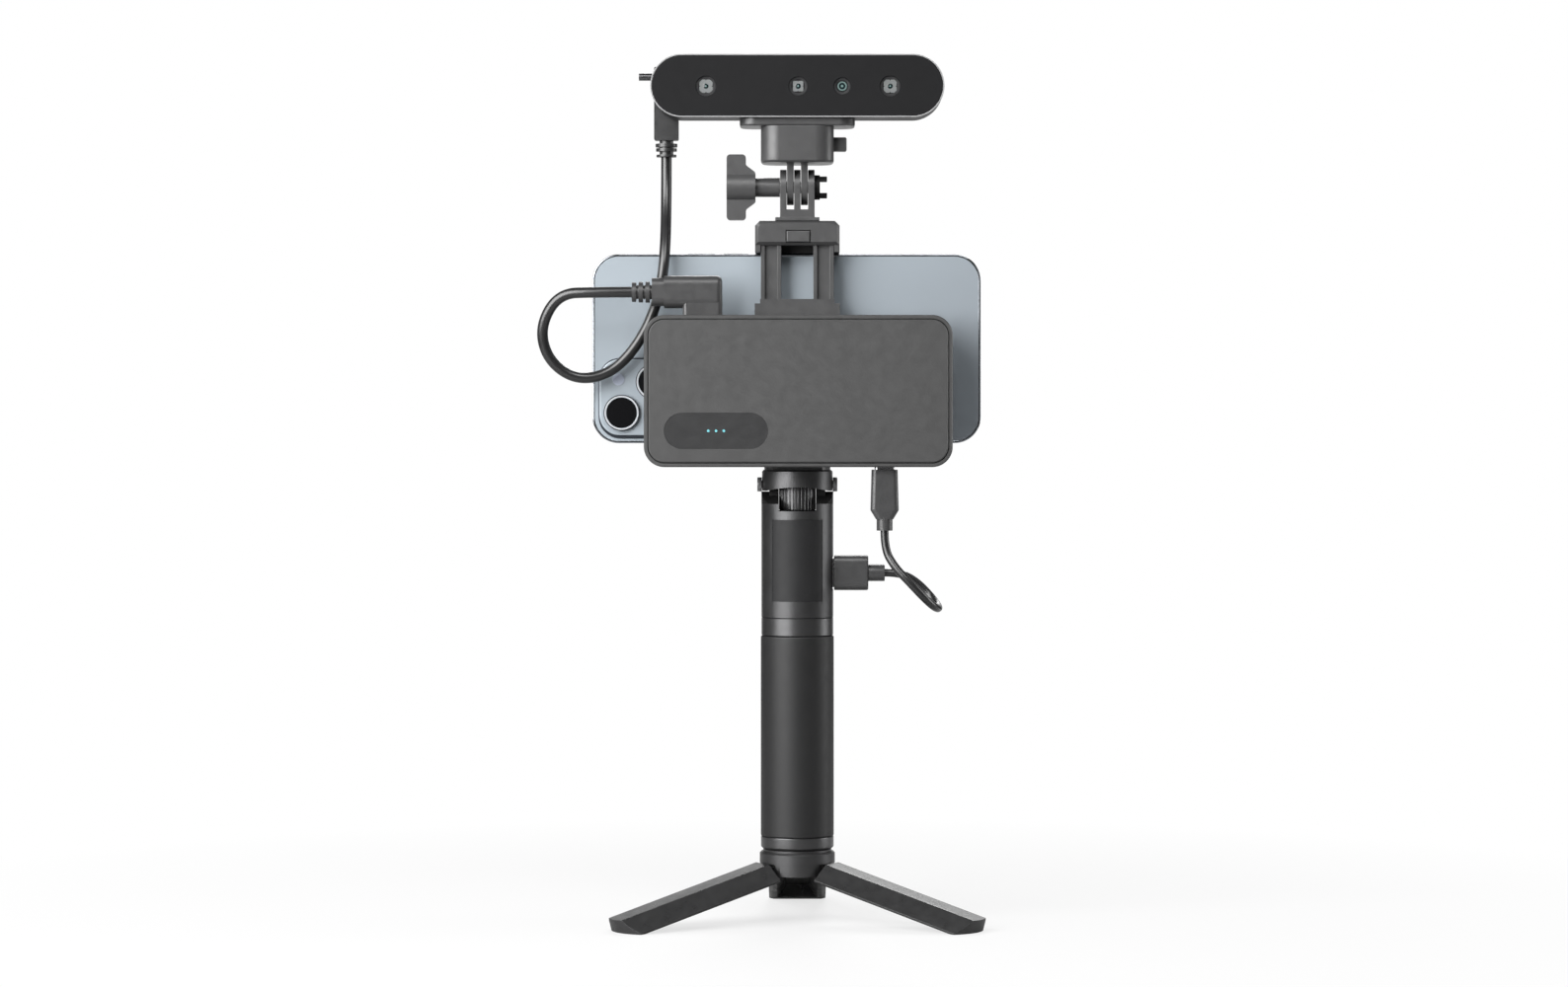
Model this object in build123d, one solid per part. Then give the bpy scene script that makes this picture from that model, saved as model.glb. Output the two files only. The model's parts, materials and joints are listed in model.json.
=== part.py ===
from build123d import *
import math
import os

# Phone-based 3-D scanning rig: a stereo scanner bar on a tilt joint, a phone clamp with a
# phone in it, a wireless relay box, a power-bank handle and a folding mini tripod.
# Millimetres.  +X is to the right of someone facing the lenses, +Y points away from them,
# +Z is up, and the origin is the handle's axis on the plane that the feet stand on.
# The lenses look along -Y and the phone's screen faces +Y.

# ---------------------------------------------------------------- driving dimensions
RUN = 0.05            # radial clearance of a running fit
GAP = 0.3             # gap between bodies that move past each other

# handle
HANDLE_R = 15.0
TUBE_BORE_R = 13.4
GRIP_R = 15.25
CAP_Z = (29.9, 35.4)
GRIP_Z = (35.4, 119.0)
BAND_Z = (119.0, 126.8)
TUBE_Z = (126.8, 174.1)
COLLAR_TOP = 179.2
NECK_FLOOR = 168.3    # bottom of the slot that the lock wheel swings in
NECK_SLOT = 15.6      # width of that slot
NOTCH_Z = 171.1       # bottom of the thumb notches in the tube
LABEL_Z = (133.3, 167.8)
LABEL_CHORD = 20.9
CELL_R, CELL_LENGTH, CELL_Z = 10.75, 70.0, 44.0
PLUG_A_Z = 145.2      # centre of the rectangular USB outlet
BUTTON_Z = 151.0
CHARGE_PORT_Z = 137.0
PORT_SIZE = (9.2, 3.4)

# tilt head between the handle and the phone clamp
TILT_Z = 182.1
YOKE_R, YOKE_BORE_R = 14.75, 12.4
YOKE_Z = (179.5, 188.2)
PLATFORM_Z = 185.8
PIVOT_R = 1.6
WHEEL_R, WHEEL_Z = 7.7, (171.3, 181.4)
SCREW_R = 3.175       # quarter-inch screw

# tripod
HUB_R, HUB_Z = 15.5, (19.4, 24.3)
FLANGE_R, FLANGE_Z = 15.7, (24.3, 29.1)
LEG_AZIMUTHS = {"leg_left": 210, "leg_right": -30, "leg_rear": 90}
LEG_HINGE_R, LEG_HINGE_Z = 10.0, 22.4
LEG_SLOPE = 15.5      # degrees below the horizontal when open
LEG_SPAN = (6.0, 78.4)
LEG_TOP = 3.95        # top flat above the hinge axis
KNUCKLE_R, KNUCKLE_WIDTH = 3.6, 7.0
HINGE_PIN_R = 1.5

# phone clamp
HOLDER_FRONT = -9.0
RAIL_X, RAIL_Y = (6.7, 15.2), (-7.0, -1.0)
RAIL_Z = (226.0, 286.0)
CHANNEL_FLOOR = 203.0
HOLDER_TOP = 257.5
JAW_HALF = 17.6
JAW_Z = (281.8, 291.9)
LIP_Y = (10.4, 13.0)

# phone
PHONE_X, PHONE_Y, PHONE_Z = (-85.7, 76.8), (2.0, 9.9), (199.3, 278.4)
PHONE_CORNER = 11.0

# relay box
BRIDGE_X, BRIDGE_Y, BRIDGE_Z = (-63.3, 64.1), (-24.0, -9.0), (189.5, 252.3)
BRIDGE_SPLIT = -13.5
BRIDGE_CORNER = 8.5
BRIDGE_WALL = 1.8
BRIDGE_PLUG_X, BRIDGE_PLUG_Z = -39.4, 261.9
PORT_Y = -16.5        # depth of both relay-box ports
POWER_PLUG_X = 36.1

# tilt joint under the scanner
HINGE_Z = 306.2
FINGER_R = 7.4
FINGER_BORE_R = 2.5
PRONGS = ((-7.2, -4.5), (-1.35, 1.35), (4.5, 7.2))
FINGERS = ((-4.35, -1.5), (1.5, 4.35))
BLOCK_X, BLOCK_Y, BLOCK_Z = 15.2, 13.0, (316.1, 331.3)
SHOE_Z = (331.3, 334.6)

# scanner bar
HEAD_X, HEAD_Y, HEAD_Z = 61.0, (-14.0, 9.0), (334.6, 360.8)
HEAD_WALL = 1.6
RIM = 0.55
PANEL_Y = (-13.75, -12.0)
OPTICS_Z = 347.5
CAMERA_X = (-37.9, 38.5)
PROJECTOR_X, COLOUR_X = 0.3, 18.6
RING_R = {-37.9: 4.2, 0.3: 3.9, 18.6: 3.5, 38.5: 4.25}
HEAD_PLUG_X, HEAD_PLUG_Y = -55.1, 13.0

PLUG_PIN_R = 1.575

# leads and their plugs
SCANNER_LEAD_D, POWER_LEAD_D = 4.5, 3.4
USB_SHELL = (8.3, 2.5)

# fasteners: shank, head and boss radius
CASE_SCREW_R, CASE_HEAD_R, CASE_BOSS_R = 1.1, 2.1, 3.0     # relay box
BAR_SCREW_R, BAR_HEAD_R = 1.0, 1.9                         # scanner bar


# ---------------------------------------------------------------- shared shapes
def block(x, y, z):
    """A box from its lowest and highest value on each axis."""
    middle = [(low + high) / 2 for low, high in (x, y, z)]
    return Pos(*middle) * Box(x[1] - x[0], y[1] - y[0], z[1] - z[0])


def rod(axis, radius, span, at=(0.0, 0.0)):
    """A cylinder along an axis over span; at is its place on the other two axes, in order."""
    length, middle = span[1] - span[0], (span[0] + span[1]) / 2
    if axis == "x":
        return Pos(middle, *at) * Rot(0, 90, 0) * Cylinder(radius, length)
    if axis == "y":
        return Pos(at[0], middle, at[1]) * Rot(90, 0, 0) * Cylinder(radius, length)
    return Pos(*at, middle) * Cylinder(radius, length)


def prism(axis, sketch, span):
    """A sketch of the other two axes, in order, extruded along an axis over span."""
    if axis == "x":
        return extrude(Plane.YZ.offset(span[0]) * sketch, amount=span[1] - span[0])
    if axis == "y":
        return extrude(Plane.XZ.offset(-span[0]) * sketch, amount=span[0] - span[1])
    return extrude(Plane.XY.offset(span[0]) * sketch, amount=span[1] - span[0])


def rounded(low, high, corner):
    """A rectangle sketch with round corners, from its low corner to its high corner."""
    size = (high[0] - low[0], high[1] - low[1])
    return Pos((low[0] + high[0]) / 2, (low[1] + high[1]) / 2) * RectangleRounded(*size, corner)


def polygon(*points):
    return make_face(Polyline(*points, close=True))


def edges_at(shape, axis, value):
    """Edges that lie in the plane at value on an axis."""
    return shape.edges().filter_by_position(axis, value - 0.01, value + 0.01)


def group(pieces):
    """Separate solids that share one node."""
    return Compound(children=[solid for piece in pieces for solid in piece.solids()])


def report_lead(name, points, radii, diameter, tube):
    """Print a lead's radii, and its volume against its section times its length."""
    path = FilletPolyline(*points, radius=radii)
    expected = math.pi * diameter**2 / 4 * path.length
    print(name, "radii", [round(r, 1) for r in radii], "length", round(path.length, 1),
          "volume ratio", round(tube.volume / expected, 4))


def lead(name, points, diameter):
    """A tube along straight runs joined by tangent arcs as large as the runs allow."""
    corners = [Vector(*p) for p in points]
    radii = []
    for before, corner, after in zip(corners, corners[1:], corners[2:]):
        turn = math.radians((corner - before).get_angle(after - corner))
        run = min((corner - before).length, (after - corner).length)
        radii.append(0.45 * run / math.tan(turn / 2))
    path = FilletPolyline(*points, radius=radii)
    section = Plane(path @ 0, z_dir=path % 0) * Circle(diameter / 2)
    tube = sweep(section, path=path)
    report_lead(name, points, radii, diameter, tube)
    return tube


# ---------------------------------------------------------------- power-bank handle
def handle_tube():
    """Aluminium tube round the electronics, with thumb notches, ports and a label panel."""
    tube = rod("z", HANDLE_R, TUBE_Z) - rod("z", TUBE_BORE_R, TUBE_Z)
    tube -= block((-NECK_SLOT / 2, NECK_SLOT / 2), (-20, 20), (NOTCH_Z, TUBE_Z[1]))
    label_shell = rod("z", HANDLE_R + 1, LABEL_Z) - rod("z", HANDLE_R - 0.25, LABEL_Z)
    tube -= label_shell & block((-LABEL_CHORD / 2, LABEL_CHORD / 2), (-20, 0), LABEL_Z)
    tube -= prism("x", Pos(0, PLUG_A_Z) * RectangleRounded(6.2, 13.6, 0.8), (10, 20))
    tube -= rod("y", 4.3, (10, 20), at=(0, BUTTON_Z))
    tube -= prism("y", Pos(0, CHARGE_PORT_Z) * SlotOverall(*PORT_SIZE), (10, 20))
    for level in range(4):
        tube -= rod("y", 0.6, (10, 20), at=(4.5 - 3 * level, BUTTON_Z + 9))
    return tube


def handle_band():
    """Turned ring between the tube and the grip."""
    ring = rod("z", HANDLE_R, BAND_Z)
    ring = chamfer(ring.edges().filter_by(GeomType.CIRCLE), 0.3)
    return ring - rod("z", TUBE_BORE_R, BAND_Z)


def grip_sleeve():
    sleeve = rod("z", GRIP_R, GRIP_Z)
    sleeve = chamfer(sleeve.edges().filter_by(GeomType.CIRCLE), 0.4)
    return sleeve - rod("z", TUBE_BORE_R, GRIP_Z)


def bottom_cap():
    """End cap with a socket for the tripod's stud; its spigot carries the cell."""
    cap = chamfer(edges_at(rod("z", HANDLE_R + 0.2, CAP_Z), Axis.Z, CAP_Z[0]), 0.9)
    cap += rod("z", TUBE_BORE_R, (CAP_Z[1], CELL_Z))
    return cap - rod("z", SCREW_R, (CAP_Z[0], 38.0))


def battery_cell():
    cell = rod("z", CELL_R, (CELL_Z, CELL_Z + CELL_LENGTH - 1.0))
    cell = fillet(cell.edges().filter_by(GeomType.CIRCLE), 0.8)
    return cell + rod("z", 3.5, (CELL_Z + CELL_LENGTH - 1.5, CELL_Z + CELL_LENGTH))


def power_board():
    """Charge board on its carrier disc, with both sockets, the switch and the light guides."""
    carrier_z = (CELL_Z + CELL_LENGTH, CELL_Z + CELL_LENGTH + 3)
    board_y = (2.9, 4.5)
    board = rod("z", TUBE_BORE_R, carrier_z)
    board += block((-10, 10), board_y, (carrier_z[1], NECK_FLOOR - 4.3))
    socket = block((-1, 12.6), (-2.9, board_y[0]), (PLUG_A_Z - 6.6, PLUG_A_Z + 6.6))
    board += socket - block((0, 13), (-2.3, 2.3), (PLUG_A_Z - 6.05, PLUG_A_Z + 6.05))
    port = block((-5.2, 5.2), (board_y[1], 12.2), (CHARGE_PORT_Z - 2.4, CHARGE_PORT_Z + 2.4))
    mouth = prism("y", Pos(0, CHARGE_PORT_Z) * SlotOverall(*PORT_SIZE), (6.0, 13))
    tongue = block((-3.3, 3.3), (6.0, 11.4), (CHARGE_PORT_Z - 0.35, CHARGE_PORT_Z + 0.35))
    board += port - mouth + tongue
    board += block((-3, 3), (board_y[1], 8.0), (BUTTON_Z - 3, BUTTON_Z + 3))
    for level in range(4):
        x = 4.5 - 3 * level
        board += rod("y", 0.6, (board_y[1], 14.0), at=(x, BUTTON_Z + 9))
    return board


def power_button():
    """Round push button on the back of the handle."""
    cap = rod("y", 4.3 - GAP, (11.4, 15.5), at=(0, BUTTON_Z))
    cap = fillet(edges_at(cap, Axis.Y, 15.5), 0.6)
    return cap + rod("y", 1.8, (9.1, 11.4), at=(0, BUTTON_Z))


def neck_collar():
    """Black neck: a plug in the tube and two cheeks that carry the tilt axis."""
    ear_x, stem = 11.7, 3.2
    collar = rod("z", HANDLE_R, (TUBE_Z[1], COLLAR_TOP))
    collar += rod("z", TUBE_BORE_R, (NECK_FLOOR - 4.3, TUBE_Z[1]))
    top = COLLAR_TOP
    fall = 16 * math.tan(math.radians(30))
    roof = polygon((0, top), (16, top - fall), (16, top + 1), (-16, top + 1), (-16, top - fall))
    collar -= prism("x", roof, (-16, 16))
    ears = block((-ear_x, ear_x), (-stem, stem), (TUBE_Z[1] - 1, TILT_Z))
    ears += rod("x", stem, (-ear_x, ear_x), at=(0, TILT_Z))
    collar += ears
    collar -= block((-NECK_SLOT / 2, NECK_SLOT / 2), (-20, 20), (NECK_FLOOR, 200))
    return collar - rod("x", PIVOT_R, (-ear_x, ear_x), at=(0, TILT_Z))


def yoke_pivots():
    """Two shoulder screws that the yoke ring turns on."""
    screws = []
    for side in (-1, 1):
        shank = rod("x", PIVOT_R, sorted((side * 8.0, side * 14.9)), at=(0, TILT_Z))
        head = rod("x", 3.0, sorted((side * 14.85, side * 16.7)), at=(0, TILT_Z))
        head -= block(sorted((side * 16.1, side * 17)), (-0.4, 0.4), (TILT_Z - 4, TILT_Z + 4))
        screws.append(shank + head)
    return group(screws)


def power_plug_a():
    """Moulded body of the rectangular USB plug in the handle's side."""
    body = block((15.35, 29.6), (-4.0, 4.0), (PLUG_A_Z - 7.3, PLUG_A_Z + 7.3))
    body = fillet(body.edges().filter_by(Axis.X), 3.0)
    body = chamfer(edges_at(body, Axis.X, 29.6), 0.4)
    return body + rod("x", 3.55, (29.6, 36.5), at=(0, PLUG_A_Z))


def power_plug_a_shell():
    shell = block((2.5, 15.35), (-2.25, 2.25), (PLUG_A_Z - 6.0, PLUG_A_Z + 6.0))
    return shell - block((0, 14.0), (-1.95, 1.95), (PLUG_A_Z - 5.7, PLUG_A_Z + 5.7))


# ---------------------------------------------------------------- tripod
def leg_places():
    """Each leg's turn about the handle's axis, by node name."""
    return {name: Rot(0, 0, azimuth) for name, azimuth in LEG_AZIMUTHS.items()}


def tripod_hub():
    """Turned hub with its stud and three clevises, each under an arch for the leg's root."""
    ear_face, arch_low, arch_high = 13.4, 8.2, 5.8
    hub = rod("z", HUB_R, HUB_Z)
    flange = rod("z", FLANGE_R, FLANGE_Z)
    flange = chamfer(edges_at(flange, Axis.Z, FLANGE_Z[1]), 0.8)
    slot = rod("y", KNUCKLE_R + GAP, (-3.7, 3.7), at=(LEG_HINGE_R, LEG_HINGE_Z))
    slot += block((LEG_HINGE_R, 20), (-3.7, 3.7), (HUB_Z[0] - 1, HUB_Z[1] - 0.2))
    slot += block((LEG_HINGE_R - 3.9, 20), (-3.7, 3.7), (HUB_Z[0] - 1, LEG_HINGE_Z))
    arch = polygon((-arch_low, HUB_Z[0] - 1), (arch_low, HUB_Z[0] - 1), (arch_low, HUB_Z[0] + 1),
                   (arch_high, HUB_Z[1]), (-arch_high, HUB_Z[1]), (-arch_low, HUB_Z[0] + 1))
    pocket = prism("x", arch, (ear_face, 20))
    pin_hole = rod("y", HINGE_PIN_R, (-7.4, 7.4), at=(LEG_HINGE_R, LEG_HINGE_Z))
    for place in leg_places().values():
        hub -= place * (slot + pocket + pin_hole)
        flange -= place * slot
    stud = rod("z", SCREW_R, (FLANGE_Z[1], 37.5))
    neck = rod("z", 14.2, (FLANGE_Z[1], CAP_Z[0]))
    return hub + flange + neck + stud


def hinge_pins():
    pin = rod("y", HINGE_PIN_R, (-7.4, 7.4), at=(LEG_HINGE_R, LEG_HINGE_Z))
    return group(place * pin for place in leg_places().values())


def tripod_leg(place):
    """A third of a round bar with a flat top and a rounded end, hollow below, its foot cut level."""
    root, tip = LEG_SPAN
    tip_r, pocket_x = 18.5, (12.0, 66.0)
    below = LEG_TOP - 13.95            # from the hinge axis to the folded legs' common axis
    base = below + 6.3
    section = polygon((-5.5, LEG_TOP), (5.5, LEG_TOP), (12.6, below + 7.5), (10.5, base),
                      (-10.5, base), (-12.6, below + 7.5))
    hollow = polygon((-5.0, LEG_TOP - 2.2), (5.0, LEG_TOP - 2.2), (8.7, base), (-8.7, base))
    bar = prism("x", section, (root, tip))
    bar = chamfer(bar.edges().filter_by(Axis.X), 0.35)
    plan = block((root, tip - tip_r), (-tip_r, tip_r), (-tip_r, tip_r))
    bar &= plan + rod("z", tip_r, (-tip_r, tip_r), at=(tip - tip_r, 0))
    bar -= prism("x", hollow, pocket_x)
    tongue = polygon((0, -KNUCKLE_R), (root + 0.5, -KNUCKLE_R), (root + 0.5, 1.6), (0, 1.6))
    half = KNUCKLE_WIDTH / 2
    bar += prism("y", tongue, (-half, half))
    bar += rod("y", KNUCKLE_R, (-half, half))
    bar -= rod("y", HINGE_PIN_R + RUN, (-half, half))
    leg = Pos(LEG_HINGE_R, 0, LEG_HINGE_Z) * Rot(0, LEG_SLOPE, 0) * bar
    return place * (leg - block((0, 120), (-30, 30), (-30, 0)))


# ---------------------------------------------------------------- tilt head and lock wheel
def tilt_yoke():
    """Ring with an arched lower edge, closed above by the platform that the clamp sits on."""
    ring = rod("z", YOKE_R, YOKE_Z)
    ring = chamfer(edges_at(ring, Axis.Z, YOKE_Z[1]), 0.7)
    ring -= rod("z", YOKE_BORE_R, (YOKE_Z[0], PLATFORM_Z))
    rise, half = 1.5, 12.8
    arch_r = (half**2 + rise**2) / (2 * rise)
    ring -= rod("y", arch_r, (-20, 20), at=(0, YOKE_Z[0] + rise - arch_r))
    ring -= rod("x", PIVOT_R + RUN, (-20, 20), at=(0, TILT_Z))
    return ring - rod("z", SCREW_R + RUN, (PLATFORM_Z, YOKE_Z[1]))


def lock_wheel():
    """Knurled wheel that drives the quarter-inch screw into the clamp."""
    wheel = rod("z", WHEEL_R, WHEEL_Z)
    wheel = chamfer(wheel.edges().filter_by(GeomType.CIRCLE), 0.4)
    ridges = 32
    for index in range(ridges):
        wheel -= Rot(0, 0, 360 / ridges * index) * rod("z", 0.38, WHEEL_Z, at=(WHEEL_R + 0.1, 0))
    return wheel - rod("z", SCREW_R, WHEEL_Z)


def yoke_screw():
    screw = rod("z", SCREW_R, (WHEEL_Z[0], 196.2))
    screw += rod("z", 5.0, (WHEEL_Z[1], WHEEL_Z[1] + 0.8))
    return screw + rod("z", 5.0, (PLATFORM_Z - 1.3, PLATFORM_Z - GAP))


# ---------------------------------------------------------------- phone clamp
def rail_spans():
    return [RAIL_X, (-RAIL_X[1], -RAIL_X[0])]


def holder_body():
    """Fixed half of the clamp: a plate with two rail channels over the lower jaw."""
    bottom, half, back = 190.5, 17.7, 1.4
    plate = block((-half, half), (HOLDER_FRONT, back), (bottom, HOLDER_TOP))
    plate += block((-15.5, 15.5), (HOLDER_FRONT, RAIL_Y[0] - 0.2), (HOLDER_TOP, HOLDER_TOP + 1.8))
    plate += block((-6.4, 6.4), (HOLDER_FRONT, back), (HOLDER_TOP, HOLDER_TOP + 1.8))
    shelf = block((-half, half), (HOLDER_FRONT, LIP_Y[1]), (bottom, 197.3))
    lip = block((-half, half), LIP_Y, (bottom, 204.5))
    lip = chamfer(lip.edges().filter_by(Axis.Y).filter_by_position(Axis.Z, 204, 205), 1.5)
    body = plate + shelf + lip
    body += rod("z", 13.8, (YOKE_Z[1], bottom)) & block((-20, 20), (HOLDER_FRONT, 20), (180, 200))
    for low, high in rail_spans():
        channel = ((low - 0.15, high + 0.15), (RAIL_Y[0] - 0.15, RAIL_Y[1] + 0.15))
        body -= block(*channel, (CHANNEL_FLOOR, HOLDER_TOP + 3))
    for x, z in clamp_screw_places():
        body -= rod("y", CASE_SCREW_R, (HOLDER_FRONT, 0.0), at=(x, z))
        body -= rod("y", CASE_HEAD_R, (0.0, back), at=(x, z))
    return body - rod("z", SCREW_R + RUN, (YOKE_Z[1], 197.3))


def lower_jaw_pad():
    return prism("z", rounded((-16.5, 2.0), (16.5, 10.1), 0.8), (197.3, 199.0))


def jaw_springs():
    """Two springs under the rails that pull the upper jaw down."""
    springs = []
    for low, high in rail_spans():
        middle = ((low + high) / 2, (RAIL_Y[0] + RAIL_Y[1]) / 2)
        span = (CHANNEL_FLOOR, RAIL_Z[0])
        springs.append(rod("z", 2.4, span, at=middle) - rod("z", 1.7, span, at=middle))
    return group(springs)


def jaw_rails():
    """Two channel-section rails fixed in the upper jaw."""
    rails = []
    for low, high in rail_spans():
        side = 1 if low > 0 else -1
        rail = block((low, high), RAIL_Y, RAIL_Z)
        groove = sorted((side * 8.3, side * 13.5))
        rails.append(rail - block(groove, (RAIL_Y[0], RAIL_Y[0] + 1.3), (RAIL_Z[0], JAW_Z[0])))
    return group(rails)


def upper_jaw():
    """Sliding half of the clamp, with the accessory shoe on top and the latch in front."""
    face_edge = 1.3
    body = block((-JAW_HALF, JAW_HALF), (HOLDER_FRONT, LIP_Y[1]), JAW_Z)
    top = body.edges().filter_by(Axis.Y).filter_by_position(Axis.Z, JAW_Z[1] - 1, JAW_Z[1] + 1)
    body = chamfer(top, 2.0)
    body = chamfer(edges_at(body, Axis.Y, HOLDER_FRONT), face_edge)
    for side in (-1, 1):
        flange = sorted((side * 15.35, side * JAW_HALF))
        body += block(flange, (HOLDER_FRONT + face_edge, LIP_Y[1]), (PHONE_Z[1] + 0.5, JAW_Z[0]))
    body += block((-JAW_HALF, JAW_HALF), LIP_Y, (273.0, JAW_Z[0]))
    for low, high in rail_spans():
        body -= block((low, high), RAIL_Y, (JAW_Z[0], RAIL_Z[1]))
    body -= block((-9.3, 9.3), (-4.6, 20), (288.4, 290.4))
    body -= block((-6.2, 6.2), (-4.6, 20), (290.4, JAW_Z[1]))
    return body - block((-4.8, 5.5), (-20, -6.0), (282.7, 288.0))


def upper_jaw_pad():
    return prism("z", rounded((-15.0, 2.0), (15.0, 10.1), 0.8), (PHONE_Z[1] + GAP, JAW_Z[0]))


def latch_button():
    """Push plate that frees the accessory foot."""
    plate = block((-4.5, 5.2), (HOLDER_FRONT - 0.6, -7.3), (283.0, 287.7))
    return chamfer(edges_at(plate, Axis.Y, HOLDER_FRONT - 0.6), 0.3)


# ---------------------------------------------------------------- tilt joint
def finger_mount():
    """Three-prong mount on an accessory foot."""
    mount = block((-9.1, 9.1), (-4.5, 9.0), (288.5, 290.3))
    mount += block((-6.1, 6.1), (-4.5, 9.0), (290.3, JAW_Z[1]))
    mount += block((-9.2, 9.2), (-8.5, 9.0), (JAW_Z[1], 293.4))
    outline = polygon((-FINGER_R, 293.4), (FINGER_R, 293.4), (FINGER_R, HINGE_Z), (-FINGER_R, HINGE_Z))
    outline += Pos(0, HINGE_Z) * Circle(FINGER_R)
    mount += prism("x", outline, (PRONGS[0][0], PRONGS[-1][1]))
    for left, right in zip(PRONGS, PRONGS[1:]):
        mount -= block((left[1], right[0]), (-20, 20), (296.7, 330))
    return mount - rod("x", FINGER_BORE_R, (-20, 20), at=(0, HINGE_Z))


def finger_nut():
    """Castellated nut bush held in the right-hand prong."""
    base_x, lug_end, slot_half = 9.4, 12.4, 2.5
    nut = rod("x", 5.15, (PRONGS[-1][1], lug_end), at=(0, HINGE_Z))
    slot = block((base_x, lug_end), (-6, 6), (-slot_half, slot_half))
    slot += block((base_x, lug_end), (-slot_half, slot_half), (-6, 6))
    nut -= Pos(0, 0, HINGE_Z) * slot
    return nut - rod("x", FINGER_BORE_R, (7, lug_end), at=(0, HINGE_Z))


def thumb_knob():
    """Wing knob moulded on the clamping bolt."""
    outline = polygon((-29.5, -13.65), (-21.5, -13.65), (-21.5, -9.2), (-17.5, -6.2),
                      (-17.5, 6.2), (-21.5, 9.2), (-21.5, 13.65), (-29.5, 13.65))
    wing = prism("y", fillet(outline.vertices(), 1.5), (-3.3, 3.3))
    knob = wing + rod("x", 6.2, (-29.5, -17.5))
    knob += rod("x", 4.0, (-17.5, PRONGS[0][0] - 0.1))
    knob -= rod("x", FINGER_BORE_R - RUN, (-24, 0))
    return Pos(0, 0, HINGE_Z) * knob


def thumb_bolt():
    return rod("x", FINGER_BORE_R - RUN, (-24, 9.2), at=(0, HINGE_Z))


def release_block():
    """Quick-release block with the two fingers of the tilt joint under it."""
    sketch = rounded((-BLOCK_X, -BLOCK_Y), (BLOCK_X, BLOCK_Y), 7.8)
    body = chamfer(edges_at(prism("z", sketch, BLOCK_Z), Axis.Z, BLOCK_Z[0]), 0.8)
    body -= block((-9.2, 9.2), (-9.2, 20), (327.6, BLOCK_Z[1]))
    body -= block((6.0, 20), (-3.2, 3.2), (320.9, 327.3))
    outline = polygon((-FINGER_R, HINGE_Z), (FINGER_R, HINGE_Z), (FINGER_R, BLOCK_Z[0] + 0.2),
                      (-FINGER_R, BLOCK_Z[0] + 0.2))
    outline += Pos(0, HINGE_Z) * Circle(FINGER_R)
    bore = rod("x", FINGER_BORE_R, (-20, 20), at=(0, HINGE_Z))
    for span in FINGERS:
        body += prism("x", outline, span) - bore
    return body


def release_button():
    button = block((9.3, 20.6), (-2.9, 2.9), (321.2, 327.0))
    return chamfer(edges_at(button, Axis.X, 20.6), 0.5)


def release_spring():
    middle = (0, 324.1)
    return rod("x", 2.0, (6.1, 9.2), at=middle) - rod("x", 1.4, (6.1, 9.2), at=middle)


def shoe_plate():
    """Plate screwed under the scanner; its foot slides into the release block."""
    plate = prism("z", rounded((-24.0, -12.0), (24.0, 12.0), 6.5), SHOE_Z)
    plate = chamfer(edges_at(plate, Axis.Z, SHOE_Z[0]), 0.5)
    return plate + block((-9.1, 9.1), (-9.0, 9.0), (327.7, SHOE_Z[0]))


# ---------------------------------------------------------------- relay box and its plugs
def bridge_outline(inset=0.0):
    low = (BRIDGE_X[0] + inset, BRIDGE_Z[0] + inset)
    high = (BRIDGE_X[1] - inset, BRIDGE_Z[1] - inset)
    return rounded(low, high, BRIDGE_CORNER - inset)


def case_screw_places():
    """X and Z of the relay box's case screws."""
    return [(x, z) for x in (BRIDGE_X[0] + 7, BRIDGE_X[1] - 7)
            for z in (BRIDGE_Z[0] + 7, BRIDGE_Z[1] - 7)]


def clamp_screw_places():
    """X and Z of the screws that hold the relay box on the clamp."""
    return [(0, 216.0), (0, 244.0)]


def ports():
    """X and height span of each port in the relay box's edges."""
    return [(BRIDGE_PLUG_X, (BRIDGE_Z[1] - 8.8, BRIDGE_Z[1])),
            (POWER_PLUG_X, (BRIDGE_Z[0], BRIDGE_Z[0] + 8.8))]


def badge_outline():
    return Pos(-33.5, 204.45) * SlotOverall(43.0, 14.9)


def bridge_front_cover():
    """Front of the relay box: a raised face inside a lower rim, with a pill-shaped recess."""
    rim_y = BRIDGE_Y[0] + 0.7
    cover = prism("y", bridge_outline(), (rim_y, BRIDGE_SPLIT))
    cover = chamfer(edges_at(cover, Axis.Y, rim_y), 0.5)
    face = prism("y", bridge_outline(1.9), (BRIDGE_Y[0], rim_y))
    face = chamfer(edges_at(face, Axis.Y, BRIDGE_Y[0]), 0.4)
    cover += face
    groove = bridge_outline(1.5) - bridge_outline(1.9)
    cover -= prism("y", groove, (rim_y - 0.1, rim_y + 0.5))
    cover -= prism("y", bridge_outline(BRIDGE_WALL), (rim_y + 1.3, BRIDGE_SPLIT))
    cover -= prism("y", badge_outline(), (BRIDGE_Y[0], BRIDGE_Y[0] + 0.6))
    for x, z in case_screw_places():
        cover += rod("y", CASE_BOSS_R, (rim_y + 1.0, BRIDGE_SPLIT), at=(x, z))
        cover -= rod("y", CASE_SCREW_R, (-20.0, BRIDGE_SPLIT), at=(x, z))
    for x, span in ports():
        cover -= prism("z", Pos(x, PORT_Y) * SlotOverall(*PORT_SIZE), span)
    return cover


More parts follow.
